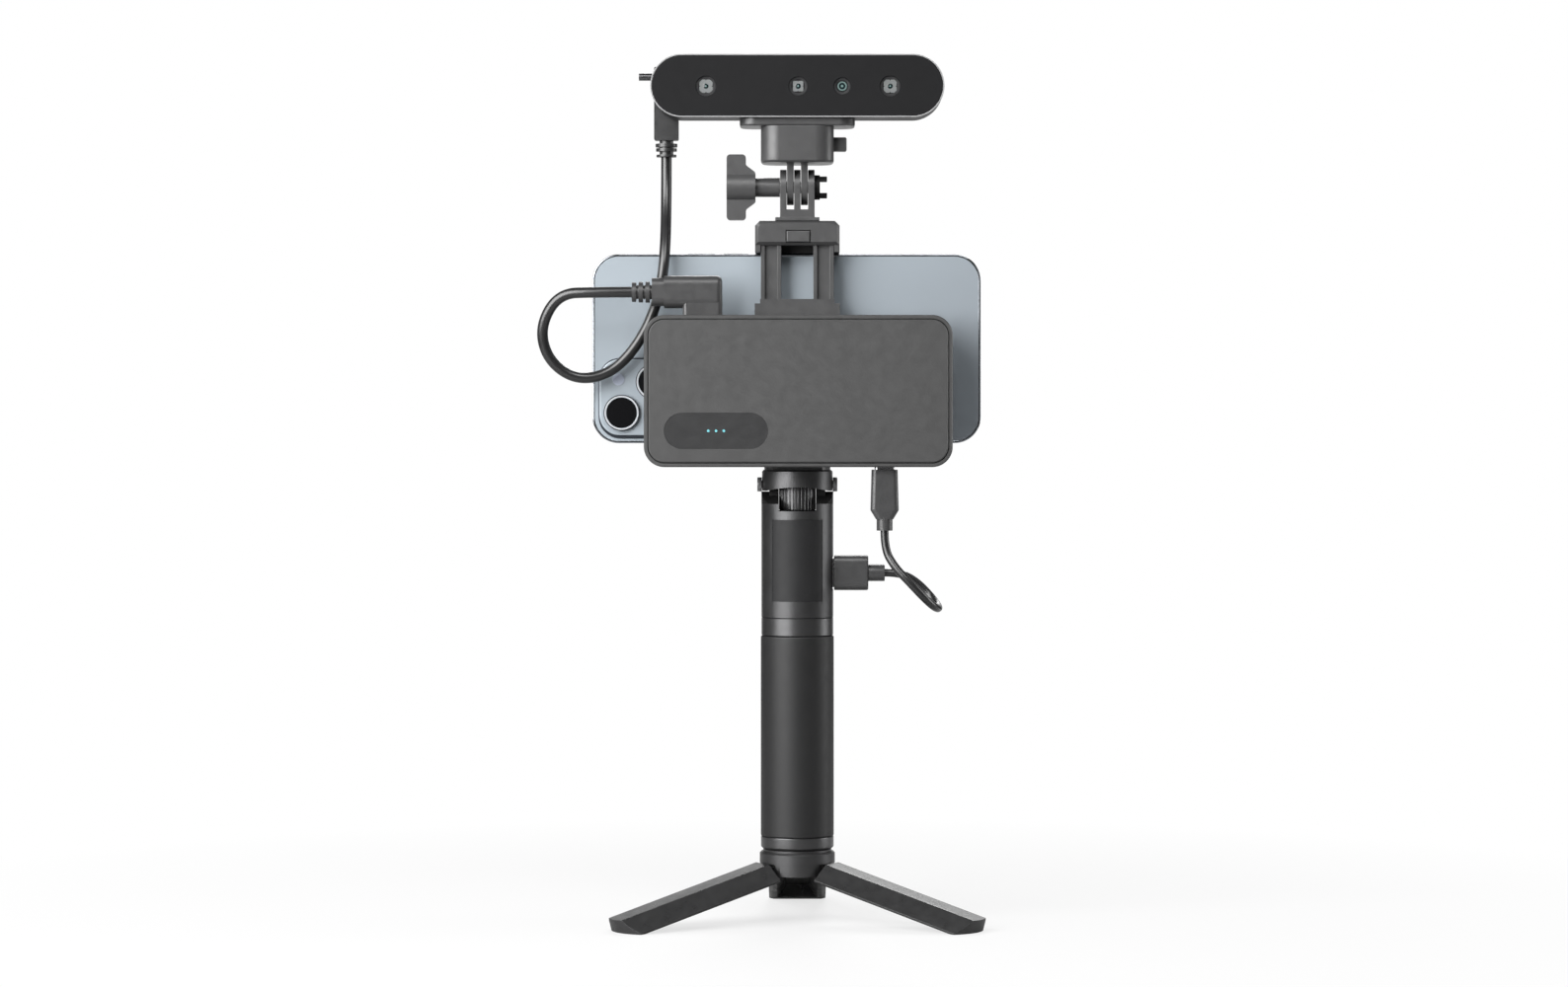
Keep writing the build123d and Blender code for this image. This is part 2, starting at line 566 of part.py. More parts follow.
def bridge_rear_shell():
    shell = prism("y", bridge_outline(), (BRIDGE_SPLIT, BRIDGE_Y[1]))
    shell = chamfer(edges_at(shell, Axis.Y, BRIDGE_Y[1]), 0.8)
    shell -= prism("y", bridge_outline(BRIDGE_WALL), (BRIDGE_SPLIT, BRIDGE_Y[1] - 1.6))
    for x, z in case_screw_places() + clamp_screw_places():
        shell += rod("y", CASE_BOSS_R, (BRIDGE_SPLIT, BRIDGE_Y[1]), at=(x, z))
        shell -= rod("y", CASE_SCREW_R, (BRIDGE_SPLIT, BRIDGE_Y[1]), at=(x, z))
    for x, z in case_screw_places():
        shell -= rod("y", CASE_HEAD_R, (BRIDGE_Y[1] - 1.2, BRIDGE_Y[1]), at=(x, z))
    return shell


def bridge_badge():
    return prism("y", badge_outline(), (BRIDGE_Y[0] + 0.15, BRIDGE_Y[0] + 0.6))


def bridge_board():
    """Radio board with its shield cans, aerial and both port sockets."""
    y = (-14.6, BRIDGE_SPLIT)
    board = block((-50, 51), y, (193.0, 249.0))
    board += block((-12, 10), (-17.0, y[0]), (212, 234)) + block((18, 34), (-16.6, y[0]), (208, 226))
    board += block((-46, -28), (-16.0, y[0]), (224, 236))
    for x, (low, high) in ports():
        socket_z = (low, high - 1.8) if low > 220 else (low + 1.8, high)
        board += block((x - 5.2, x + 5.2), (PORT_Y - 2.1, y[0]), socket_z)
        board -= prism("z", Pos(x, PORT_Y) * SlotOverall(8.7, 2.9), socket_z)
    for x, z in clamp_screw_places():
        board -= rod("y", CASE_BOSS_R, (-16, BRIDGE_SPLIT), at=(x, z))
    return board


def bridge_screws():
    """Case screws, and the longer pair that fixes the box to the clamp."""
    screws = []
    for x, z in case_screw_places():
        screws.append(rod("y", CASE_SCREW_R, (-20.0, BRIDGE_Y[1] - 1.2), at=(x, z))
                      + rod("y", CASE_HEAD_R, (BRIDGE_Y[1] - 1.2, BRIDGE_Y[1] - 0.2), at=(x, z)))
    for x, z in clamp_screw_places():
        screws.append(rod("y", CASE_SCREW_R, (BRIDGE_SPLIT, 0.0), at=(x, z))
                      + rod("y", CASE_HEAD_R, (0.0, 1.2), at=(x, z)))
    return group(screws)


def bridge_plug():
    """Right-angled plug in the relay box's top edge, its cable leaving to the left."""
    collar_x, barrel_x, leg_x, end_x = -60.1, -55.1, -47.4, -31.1
    barrel = prism("x", rounded((PORT_Y - 4.0, 255.2), (PORT_Y + 4.0, 268.7), 3.8), (barrel_x, end_x))
    barrel = fillet(edges_at(barrel, Axis.X, end_x), 2.4)
    leg = prism("z", rounded((leg_x, PORT_Y - 3.6), (end_x, PORT_Y + 3.6), 1.8), (252.45, 262.0))
    plug = barrel + leg
    plug += prism("x", rounded((PORT_Y - 3.7, 256.1), (PORT_Y + 3.7, 267.8), 3.4), (collar_x, barrel_x))
    at = (PORT_Y, BRIDGE_PLUG_Z)
    plug += rod("x", 2.9, (-68.4, collar_x), at=at)
    for low, high, radius in ((-62.8, -61.1, 4.4), (-65.6, -63.9, 4.3), (-68.4, -66.7, 4.1)):
        plug += rod("x", radius, (low, high), at=at)
    return plug


def power_plug_c():
    """Straight plug under the relay box, its cable leaving downwards."""
    top, waist, end = 188.4, 171.6, 163.2
    body = polygon((-5.4, top), (-5.85, waist), (-3.6, 167.9), (3.6, 167.9), (5.85, waist), (5.4, top))
    plug = fillet(prism("y", body, (-3.2, 3.2)).edges().filter_by(Axis.Y).group_by(Axis.Z)[1], 1.5)
    sides = plug.edges().filter_by_position(Axis.Z, waist + 3, top - 3).filter_by(Axis.Y, reverse=True)
    plug = fillet(sides, 2.1)
    return Pos(POWER_PLUG_X, PORT_Y, 0) * (plug + rod("z", 3.3, (end, 168.5)))


def usb_c_shells():
    """Metal shells of the two plugs in the relay box."""
    shells = []
    for x, span in ((BRIDGE_PLUG_X, (244.5, 252.45)), (POWER_PLUG_X, (188.4, 197.0))):
        outline = Pos(x, PORT_Y) * (SlotOverall(*USB_SHELL) - SlotOverall(7.7, 1.9))
        shells.append(prism("z", outline, span))
    return group(shells)


# ---------------------------------------------------------------- scanner bar
def head_outline(inset=0.0):
    size = (2 * (HEAD_X - inset), HEAD_Z[1] - HEAD_Z[0] - 2 * inset)
    return Pos(0, (HEAD_Z[0] + HEAD_Z[1]) / 2) * SlotOverall(*size)


def head_screw_places():
    return [(x, z) for x in (-30, 30) for z in (339.9, 355.5)]


def head_rear_shell():
    """Deep aluminium shell with a fine rim round the front panel."""
    shell = prism("y", head_outline(), HEAD_Y)
    shell = fillet(edges_at(shell, Axis.Y, HEAD_Y[1]), 2.2)
    shell -= prism("y", head_outline(RIM), (HEAD_Y[0], PANEL_Y[1]))
    shell -= prism("y", head_outline(HEAD_WALL), (PANEL_Y[1], HEAD_Y[1] - HEAD_WALL))
    for x, z in head_screw_places():
        shell += rod("y", 2.6, (-1.4, HEAD_Y[1] - HEAD_WALL), at=(x, z))
        shell -= rod("y", BAR_SCREW_R, (-1.4, HEAD_Y[1]), at=(x, z))
        shell -= rod("y", BAR_HEAD_R, (HEAD_Y[1] - 1.1, HEAD_Y[1]), at=(x, z))
    slot = Pos(HEAD_PLUG_X, 346.0) * SlotOverall(*PORT_SIZE, rotation=90)
    return shell - prism("y", slot, (7.0, HEAD_Y[1]))


def head_front_panel():
    """Inset black panel with a round hole for each window."""
    panel = prism("y", head_outline(RIM + RUN), PANEL_Y)
    panel = chamfer(edges_at(panel, Axis.Y, PANEL_Y[0]), 0.2)
    for x, radius in RING_R.items():
        panel -= rod("y", radius, PANEL_Y, at=(x, OPTICS_Z))
    return panel


def optic_windows():
    return group(rod("y", radius, (PANEL_Y[0] + 0.2, PANEL_Y[0] + 0.8), at=(x, OPTICS_Z))
                 for x, radius in RING_R.items())


def optic_module(x, barrel_r, half):
    """A lens barrel on a square sensor housing, looking through the panel."""
    module = block((x - half, x + half), (-9.0, -3.0), (OPTICS_Z - half, OPTICS_Z + half))
    module += rod("y", barrel_r, (-12.6, -9.0), at=(x, OPTICS_Z))
    return module - rod("y", barrel_r * 0.35, (-12.6, -11.4), at=(x, OPTICS_Z))


def ir_cameras():
    return group(optic_module(x, 4.0, 6.5) for x in CAMERA_X)


def pattern_projector():
    return optic_module(PROJECTOR_X, 3.7, 6.0)


def colour_camera():
    return optic_module(COLOUR_X, 3.3, 5.0)


def head_optics_frame():
    """Rigid plate that keeps the optics in line."""
    frame = prism("y", head_outline(HEAD_WALL), (-11.8, -9.0))
    for x in RING_R:
        frame -= rod("y", 4.1, (-11.8, -9.0), at=(x, OPTICS_Z))
    return frame


def head_main_board():
    """Processor board behind the optics, with the socket for the lead."""
    board = block((-46, 46), (-3.0, -1.4), (338.0, 357.4)) + block((-57, -46), (-3.0, -1.4), (341.0, 351.0))
    board += block((-12, 6), (-1.4, 0.4), (341, 354)) + block((14, 26), (-1.4, 0.0), (343, 353))
    board += block((-57.2, -53.0), (-1.4, 7.0), (341.0, 351.0))
    board -= prism("y", Pos(HEAD_PLUG_X, 346.0) * SlotOverall(8.6, 2.8, rotation=90), (1.0, 7.0))
    for x, z in head_screw_places():
        board -= rod("y", BAR_SCREW_R, (-3.0, -1.4), at=(x, z))
    return board


def head_case_screws():
    return group(rod("y", BAR_SCREW_R, (-3.0, HEAD_Y[1] - 1.1), at=place)
                 + rod("y", BAR_HEAD_R, (HEAD_Y[1] - 1.1, HEAD_Y[1] - 0.2), at=place)
                 for place in head_screw_places())


def head_plug():
    """Right-angled plug in the back of the scanner, its ribbed relief pointing down."""
    outline = fillet(polygon((-60.2, 326.6), (-49.9, 326.6), (-49.9, 357.5), (-60.2, 357.5)).vertices(), 0.8)
    body = prism("y", outline, (HEAD_Y[1], 17.0))
    body = fillet(body.edges().filter_by(Axis.Z).filter_by_position(Axis.Y, 16.9, 17.1), 2.4)
    body += prism("y", Pos(HEAD_PLUG_X, 346.0) * SlotOverall(*USB_SHELL, rotation=90), (2.0, HEAD_Y[1]))
    at = (HEAD_PLUG_X, HEAD_PLUG_Y)
    body += rod("z", 2.9, (319.7, 327.0), at=at)
    for low, high, radius in ((322.1, 323.4, 4.4), (323.9, 325.3, 4.6), (319.7, 320.7, 4.2)):
        body += rod("z", radius, (low, high), at=at)
    return body - rod("x", PLUG_PIN_R, (-70, -50.5), at=(HEAD_PLUG_Y, 353.5))


def head_plug_pin():
    return rod("x", PLUG_PIN_R, (-66.7, -50.5), at=(HEAD_PLUG_Y, 353.5))


# ---------------------------------------------------------------- phone
def phone_outline(inset=0.0):
    low = (PHONE_X[0] + inset, PHONE_Z[0] + inset)
    high = (PHONE_X[1] - inset, PHONE_Z[1] - inset)
    return rounded(low, high, PHONE_CORNER - inset)


def phone_frame():
    """Flat-sided metal frame and mid-plate, with the keys on the upper edge."""
    frame = prism("y", phone_outline(), PHONE_Y)
    frame = fillet(edges_at(frame, Axis.Y, PHONE_Y[0]) + edges_at(frame, Axis.Y, PHONE_Y[1]), 0.5)
    for low, high in ((-45.7, -34.5), (-30.8, -20.5)):
        frame += block((low, high), (4.6, 7.4), (PHONE_Z[1] - 0.5, PHONE_Z[1] + 0.35))
    frame -= prism("y", phone_outline(1.0), (PHONE_Y[0], PHONE_Y[0] + 0.8))
    return frame - prism("y", phone_outline(1.0), (PHONE_Y[1] - 0.8, PHONE_Y[1]))


def phone_back():
    """Glass back with a raised camera island: two lens rings and a light."""
    back = prism("y", phone_outline(1.0), (PHONE_Y[0], PHONE_Y[0] + 0.8))
    island = prism("y", rounded((-82.7, 202.6), (-50.5, 234.5), 8.5), (0.7, PHONE_Y[0]))
    back += fillet(edges_at(island, Axis.Y, 0.7), 0.5)
    for x, z in ((-73.4, 212.0), (-60.0, 225.0)):
        lens = rod("y", 7.5, (-1.0, 0.7), at=(x, z))
        lens = chamfer(edges_at(lens, Axis.Y, -1.0), 0.4)
        back += lens - rod("y", 6.4, (-1.0, -0.5), at=(x, z))
    return back + rod("y", 2.6, (0.45, 0.7), at=(-74.8, 226.0))


def phone_screen():
    return prism("y", phone_outline(1.0), (PHONE_Y[1] - 0.8, PHONE_Y[1]))


# ---------------------------------------------------------------- leads
# Each route is a list of the corners of its runs.  The scanner lead is in two parts that
# meet halfway along the run in front of the phone's upper edge.
SCANNER_LEAD_UPPER = [(-55.1, 13.0, 319.7), (-55.1, 13.0, 303.8), (-55.05, 3.2, 290.4)]
SCANNER_LEAD_LOWER = [(-55.05, 3.2, 290.4), (-55.0, -6.6, 277.0), (-57.6, -5.0, 260.0),
                      (-64.5, -5.0, 243.0), (-76.5, -5.2, 228.8), (-91.5, -6.2, 225.3),
                      (-103.6, -8.6, 233.5), (-107.0, -11.2, 247.5), (-99.0, -14.0, 260.0),
                      (-83.6, -16.5, 261.9), (-68.4, -16.5, 261.9)]
POWER_LEAD = [(36.5, 0.0, 145.2), (43.2, 0.0, 145.2), (50.2, 2.0, 141.2), (56.6, 1.0, 134.4),
              (59.4, -7.2, 130.2), (56.4, -15.6, 131.6), (51.6, -20.2, 136.2), (46.0, -20.8, 142.2),
              (40.2, -19.0, 148.2), (36.1, -16.5, 155.4), (36.1, -16.5, 163.2)]


def scanner_lead_upper():
    return lead("scanner_lead_upper", SCANNER_LEAD_UPPER, SCANNER_LEAD_D)


def scanner_lead_lower():
    return lead("scanner_lead_lower", SCANNER_LEAD_LOWER, SCANNER_LEAD_D)


def power_lead():
    return lead("power_lead", POWER_LEAD, POWER_LEAD_D)


# ---------------------------------------------------------------- export
SUB_PARTS = (
    handle_tube, handle_band, grip_sleeve, bottom_cap, battery_cell, power_board, power_button,
    neck_collar, yoke_pivots, power_plug_a, power_plug_a_shell, tripod_hub, hinge_pins,
    tilt_yoke, lock_wheel, yoke_screw, holder_body, lower_jaw_pad, jaw_springs, jaw_rails,
    upper_jaw, upper_jaw_pad, latch_button, finger_mount, finger_nut, thumb_knob, thumb_bolt,
    release_block, release_button, release_spring, shoe_plate,
    bridge_front_cover, bridge_rear_shell, bridge_badge, bridge_board, bridge_screws,
    bridge_plug, power_plug_c, usb_c_shells,
    head_rear_shell, head_front_panel, optic_windows, ir_cameras, pattern_projector,
    colour_camera, head_optics_frame, head_main_board, head_case_screws, head_plug,
    head_plug_pin, phone_frame, phone_back, phone_screen,
    scanner_lead_upper, scanner_lead_lower, power_lead,
)

os.makedirs("parts", exist_ok=True)
for sub_part in SUB_PARTS:
    export_step(sub_part(), f"parts/{sub_part.__name__}.step")
for leg_name, leg_place in leg_places().items():
    export_step(tripod_leg(leg_place), f"parts/{leg_name}.step")
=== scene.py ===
import json
from math import asin, cos, pi, radians, sin

import bmesh
import bpy
from mathutils import Matrix, Vector


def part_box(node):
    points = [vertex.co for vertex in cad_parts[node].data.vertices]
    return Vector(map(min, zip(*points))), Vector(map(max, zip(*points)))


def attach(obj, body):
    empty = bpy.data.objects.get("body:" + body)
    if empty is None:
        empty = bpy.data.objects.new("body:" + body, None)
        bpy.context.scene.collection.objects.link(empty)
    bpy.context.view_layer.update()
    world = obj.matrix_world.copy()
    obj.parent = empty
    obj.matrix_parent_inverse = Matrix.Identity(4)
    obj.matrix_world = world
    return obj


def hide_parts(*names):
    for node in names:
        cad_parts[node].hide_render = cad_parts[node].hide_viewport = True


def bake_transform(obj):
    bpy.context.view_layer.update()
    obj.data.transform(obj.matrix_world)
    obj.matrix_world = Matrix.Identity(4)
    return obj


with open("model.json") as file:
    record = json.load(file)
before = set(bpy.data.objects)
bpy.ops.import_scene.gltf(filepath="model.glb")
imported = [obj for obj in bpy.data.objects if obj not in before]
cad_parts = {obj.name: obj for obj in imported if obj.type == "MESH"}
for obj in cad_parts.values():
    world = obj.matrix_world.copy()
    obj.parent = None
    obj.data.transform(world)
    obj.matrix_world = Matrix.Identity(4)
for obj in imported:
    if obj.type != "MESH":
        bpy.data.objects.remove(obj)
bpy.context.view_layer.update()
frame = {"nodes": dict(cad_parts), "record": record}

scene = bpy.context.scene
scene.view_settings.view_transform = "Standard"


# ---------------------------------------------------------------- camera
# A long lens on a level camera at the height of the phone clamp, so that the tripod is seen
# a little from above and the scanner bar a little from below.

camera_data = bpy.data.cameras.new("camera")
camera_data.sensor_width = 36.0
camera_data.lens = 93.4
camera_data.shift_x = -0.0085
camera_data.shift_y = -0.0397
camera = bpy.data.objects.new("camera", camera_data)
camera.location = (0, -1.70, 0.2043)
camera.rotation_euler = (radians(90), 0, 0)
scene.collection.objects.link(camera)
scene.camera = camera


# ---------------------------------------------------------------- handle tube
# Extruded aluminium tube, bead-blasted and anodised black.  It slides over the electronics,
# and carries the thumb notches, the sockets and the recess for a label.  The helpers that all
# the pieces share come first.

body_of = {node: body for body, nodes in frame["record"]["behaviour"]["bodies"].items() for node in nodes}


def place(x, y, z):
    """A point given in millimetres."""
    return Vector((x, y, z)) / 1000


def named_material(name, metallic=0.0, specular=0.5, coat=0.0, coat_roughness=0.1):
    """A new material with the values that are the same all over it set on its shader."""
    material = bpy.data.materials.new(name)
    material.use_nodes = True
    shader = material.node_tree.nodes["Principled BSDF"]
    shader.inputs["Metallic"].default_value = metallic
    shader.inputs["Specular IOR Level"].default_value = specular
    shader.inputs["Coat Weight"].default_value = coat
    shader.inputs["Coat Roughness"].default_value = coat_roughness
    return material, material.node_tree, shader


def noise(tree, scale, stretch=(1, 1, 1), detail=3.0):
    """A cloud of the given fineness, in lumps per metre, drawn out by stretch."""
    source = tree.nodes.new("ShaderNodeTexCoord")
    mapping = tree.nodes.new("ShaderNodeMapping")
    mapping.inputs["Scale"].default_value = stretch
    texture = tree.nodes.new("ShaderNodeTexNoise")
    texture.inputs["Scale"].default_value = scale
    texture.inputs["Detail"].default_value = detail
    tree.links.new(source.outputs["Object"], mapping.inputs["Vector"])
    tree.links.new(mapping.outputs["Vector"], texture.inputs["Vector"])
    return texture.outputs["Fac"]


def span(tree, value, low, high, start=0.3, end=0.7):
    """A value that runs from low to high while its source runs from start to end."""
    ramp = tree.nodes.new("ShaderNodeMapRange")
    ramp.inputs["From Min"].default_value = start
    ramp.inputs["From Max"].default_value = end
    ramp.inputs["To Min"].default_value = low
    ramp.inputs["To Max"].default_value = high
    tree.links.new(value, ramp.inputs["Value"])
    return ramp.outputs["Result"]


def blend_of(tree, value, first, second):
    """A colour between two, chosen by a value from 0 to 1."""
    mix = tree.nodes.new("ShaderNodeMix")
    mix.data_type = "RGBA"
    mix.inputs["A"].default_value = (*first, 1)
    mix.inputs["B"].default_value = (*second, 1)
    tree.links.new(value, mix.inputs["Factor"])
    return mix.outputs["Result"]


def relief(tree, shader, height, strength, depth):
    """Fine relief on a shader from a height, depth in metres."""
    bump = tree.nodes.new("ShaderNodeBump")
    bump.inputs["Strength"].default_value = strength
    bump.inputs["Distance"].default_value = depth
    tree.links.new(height, bump.inputs["Height"])
    tree.links.new(bump.outputs["Normal"], shader.inputs["Normal"])


def moulding(name, colour, roughness, grain=2600.0, bite=0.35, mottle=0.025, specular=0.5, dusty=0.06):
    """Moulded plastic or elastomer: an etched grain, uneven gloss and a faintly clouded tone."""
    material, tree, shader = named_material(name, specular=specular)
    cloud = noise(tree, 45.0)
    dark = tuple(c * (1 - mottle) for c in colour)
    light = tuple(c * (1 + mottle) for c in colour)
    tree.links.new(blend_of(tree, span(tree, cloud, 0, 1), dark, light), shader.inputs["Base Color"])
    gloss = noise(tree, 240.0, detail=5.0)
    tree.links.new(span(tree, gloss, roughness - dusty, roughness + dusty), shader.inputs["Roughness"])
    relief(tree, shader, noise(tree, grain, detail=2.0), bite, 0.00006)
    return material


def wear(piece, material):
    """Give a piece one material over all its faces."""
    piece.data.materials.clear()
    piece.data.materials.append(material)
    return piece


def anodising(name, colour, roughness, metallic=0.25, specular=0.8, turned=(1, 1, 1), grain=2400.0):
    """Anodised aluminium: a dyed film over a blasted or turned metal surface."""
    material, tree, shader = named_material(name, metallic=metallic, specular=specular)
    cloud = span(tree, noise(tree, 30.0), 0, 1)
    dark = tuple(c * 0.93 for c in colour)
    light = tuple(c * 1.08 for c in colour)
    tree.links.new(blend_of(tree, cloud, dark, light), shader.inputs["Base Color"])
    gloss = noise(tree, 160.0, turned, detail=6.0)
    tree.links.new(span(tree, gloss, roughness - 0.04, roughness + 0.04), shader.inputs["Roughness"])
    relief(tree, shader, noise(tree, grain, turned, detail=2.0), 0.2, 0.00004)
    return material


def softened(node, edge, finish, segments=2):
    """A CAD piece with its sharp edges broken by a small radius in mm; the copy stands for its node."""
    same_point = 2e-6
    nearly_flat = radians(0.8)
    sharp = radians(32)
    shape = bmesh.new()
    shape.from_mesh(frame["nodes"][node].data)
    bmesh.ops.remove_doubles(shape, verts=shape.verts, dist=same_point)
    bmesh.ops.dissolve_limit(shape, angle_limit=nearly_flat, verts=shape.verts, edges=shape.edges)
    corners = [e for e in shape.edges if e.is_manifold and e.calc_face_angle(0) > sharp]
    bmesh.ops.bevel(shape, geom=corners, offset=edge / 1000, offset_type="OFFSET", segments=segments,
                    profile=0.5, affect="EDGES", clamp_overlap=True, material=-1)
    return piece_from(shape, node + "_part", node, finish)


def piece_from(shape, name, node, finish, replace=True):
    """A finished mesh object from a bmesh, on its node's body; with replace it stands for the node."""
    mesh = bpy.data.meshes.new(name)
    shape.to_mesh(mesh)
    shape.free()
    mesh.shade_smooth()
    mesh.set_sharp_from_angle(angle=radians(30))
    piece = bpy.data.objects.new(name, mesh)
    scene.collection.objects.link(piece)
    even = piece.modifiers.new("even_normals", "WEIGHTED_NORMAL")
    even.keep_sharp = True
    wear(piece, finish)
    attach(piece, body_of[node])
    if replace:
        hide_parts(node)
    return piece


def turned_profile(points, steps=96, axis=(0, 0, 1), centre=(0, 0, 0), angle=2 * pi):
    """A closed ring or cup spun from an outline of (radius, height) points in millimetres."""
    shape = bmesh.new()
    axis = Vector(axis)
    base = place(*centre)
    outline = [shape.verts.new(base + place(radius, 0, 0) + axis * height / 1000)
               for radius, height in points]
    for pair in zip(outline, outline[1:] + outline[:1]):
        shape.edges.new(pair)
    full_turn = angle == 2 * pi
    if not full_turn:
        shape.faces.new(outline)
    bmesh.ops.spin(shape, geom=shape.verts[:] + shape.edges[:] + shape.faces[:], cent=base,
                   axis=axis, angle=angle, steps=steps, use_merge=full_turn, use_duplicate=False)
    bmesh.ops.remove_doubles(shape, verts=shape.verts, dist=1e-7)
    bmesh.ops.recalc_face_normals(shape, faces=shape.faces)
    return shape


def turned_along_y(points, steps, x, z):
    """A closed ring or cup about an axis that runs from front to back through x and z, in mm."""
    return turned_profile(points, steps, axis=(0, 1, 0), centre=(x, 0, z))


black_anodised = anodising("black_anodised", (0.115, 0.115, 0.117), 0.41, metallic=0.9, specular=0.1)
softened("handle_tube", 0.15, black_anodised)

# The label is a matt black film in its recess; its face is bare.
label_film = moulding("label_film", (0.020, 0.020, 0.021), 0.52, grain=3000, bite=0.15, specular=0.35)
label_radius, label_thickness, label_half_width = 14.76, 0.12, 10.2
label_low, label_high = 133.6, 167.5
label_half_angle = asin(label_half_width / label_radius)
label_outline = [(label_radius, label_low), (label_radius + label_thickness, label_low),
                 (label_radius + label_thickness, label_high), (label_radius, label_high)]
label = turned_profile(label_outline, steps=32, angle=2 * label_half_angle)
bmesh.ops.rotate(label, verts=label.verts, matrix=Matrix.Rotation(-pi / 2 - label_half_angle, 3, "Z"))
piece_from(label, "label_film", "handle_tube", label_film, replace=False)


# ---------------------------------------------------------------- turned band
# A short aluminium ring between the tube and the grip, turned all over and anodised with the
# tube; a hairline groove shows at each end of it.

turned_anodised = anodising("turned_anodised", (0.130, 0.130, 0.132), 0.36, metallic=0.9,
                            turned=(0.05, 0.05, 12.0))
band = turned_profile([(13.45, 119.05), (14.6, 119.05), (14.72, 119.1), (15.0, 119.42), (15.0, 126.38),
                       (14.72, 126.7), (14.6, 126.75), (13.45, 126.75)], steps=128)
piece_from(band, "handle_band_part", "handle_band", turned_anodised)


# ---------------------------------------------------------------- grip sleeve
# An aluminium sleeve with a matt soft-touch coat, pushed on below the band.  Its ends are
# rounded where the coat wraps over them.

soft_touch = moulding("soft_touch", (0.014, 0.014, 0.0145), 0.50, grain=3200, bite=0.25, specular=0.6,
                      dusty=0.03)
grip = turned_profile([(13.45, 35.5), (14.75, 35.5), (15.05, 35.58), (15.21, 35.8), (15.25, 36.1),
                       (15.25, 118.3), (15.21, 118.6), (15.05, 118.84), (14.75, 118.95), (13.45, 118.95)],
                      steps=128)
piece_from(grip, "grip_sleeve_part", "grip_sleeve", soft_touch)


# ---------------------------------------------------------------- bottom cap
# Turned end cap: a chamfered ring under the sleeve, a spigot inside it for the cell, and a
# threaded socket for the tripod's stud.

cap_outline = [(3.4, 29.9), (13.7, 29.9), (14.1, 29.98), (15.08, 30.9), (15.2, 31.2), (15.2, 34.9),
               (15.12, 35.25), (14.9, 35.4), (13.4, 35.4), (13.4, 43.6), (13.0, 44.0), (3.0, 44.0),
               (3.0, 38.0), (3.2, 38.0)]
thread_turns, thread_pitch, thread_top = 12, 0.62, 37.6
for turn in range(thread_turns):
    root_height = thread_top - thread_pitch * turn
    cap_outline += [(3.4, root_height), (3.2, root_height - thread_pitch / 2)]
cap = turned_profile(cap_outline)
piece_from(cap, "bottom_cap_part", "bottom_cap", turned_anodised)


# ---------------------------------------------------------------- cell and power board
# A 2170-size lithium cell in its shrink sleeve, and above it the charge board on a moulded
# carrier disc, with both sockets, the switch and four light guides.

cell_wrap = moulding("cell_wrap", (0.06, 0.16, 0.30), 0.28, grain=500, bite=0.05, specular=0.5)
softened("battery_cell", 0.1, cell_wrap)

board_material, board_tree, board_shader = named_material("circuit_board", specular=0.5)
board_traces = span(board_tree, noise(board_tree, 900.0, detail=1.0), 0, 1, 0.48, 0.52)
board_tree.links.new(blend_of(board_tree, board_traces, (0.012, 0.055, 0.030), (0.020, 0.090, 0.050)),
                     board_shader.inputs["Base Color"])
board_tree.links.new(span(board_tree, board_traces, 0.30, 0.42), board_shader.inputs["Roughness"])
relief(board_tree, board_shader, board_traces, 0.3, 0.00005)
softened("power_board", 0.05, board_material)


# ---------------------------------------------------------------- power button
# A round moulded push button that stands a little proud of the back of the handle, its
# cap dished for the fingertip.

clamp_nylon = moulding("clamp_nylon", (0.068, 0.068, 0.069), 0.40, grain=1900, bite=0.4, specular=0.9)
button = turned_along_y([(0, 9.1), (1.75, 9.1), (1.75, 11.4), (3.8, 11.4), (4.0, 11.6), (4.0, 14.9),
                         (3.88, 15.25), (3.5, 15.48), (3.0, 15.46), (1.5, 15.28), (0, 15.2)],
                        steps=48, x=0, z=151.0)
piece_from(button, "power_button_part", "power_button", clamp_nylon)


# ---------------------------------------------------------------- neck and tilt pivots
# Glass-filled nylon neck, plugged into the tube, whose two cheeks carry the tilt axis, and
# the two slotted shoulder screws that the yoke ring turns on.

neck_plastic = moulding("neck_plastic", (0.012, 0.012, 0.012), 0.55, grain=2200, bite=0.4, specular=0.3)
softened("neck_collar", 0.12, neck_plastic)
dark_steel = anodising("dark_steel", (0.16, 0.16, 0.165), 0.30, metallic=0.9, specular=0.6, grain=3000)
pivot_steel = anodising("pivot_steel", (0.30, 0.30, 0.305), 0.40, metallic=0.5, specular=0.5, grain=3000)
softened("yoke_pivots", 0.12, pivot_steel)


# ---------------------------------------------------------------- rectangular plug in the handle
# Overmoulded plug body with softly rounded sides; its pressed steel shell sits in the
# handle's outlet.

plug_plastic = moulding("plug_plastic", (0.058, 0.058, 0.059), 0.36, grain=2100, bite=0.35, specular=0.9)
steel = anodising("steel", (0.55, 0.55, 0.56), 0.26, metallic=1.0, specular=0.5, grain=3000)
softened("power_plug_a", 0.25, plug_plastic)
softened("power_plug_a_shell", 0.08, steel)


# ---------------------------------------------------------------- tripod hub, pins and legs
# Turned hub with a quarter-inch stud and three clevises.  The legs are glass-filled nylon,
# each a third of a round bar when folded, with a flat top and a foot cut level.

softened("tripod_hub", 0.15, black_anodised)
softened("hinge_pins", 0.1, dark_steel)
leg_nylon = moulding("leg_nylon", (0.026, 0.026, 0.0265), 0.32, grain=1700, bite=0.06, specular=1.0)
for leg in ("leg_left", "leg_right", "leg_rear"):
    softened(leg, 0.3, leg_nylon, segments=3)


# ---------------------------------------------------------------- tilt yoke, lock wheel and screw
# An anodised ring with an arched lower edge carries the clamp on its platform.  A knurled
# wheel under it drives a quarter-inch steel screw up into the clamp.

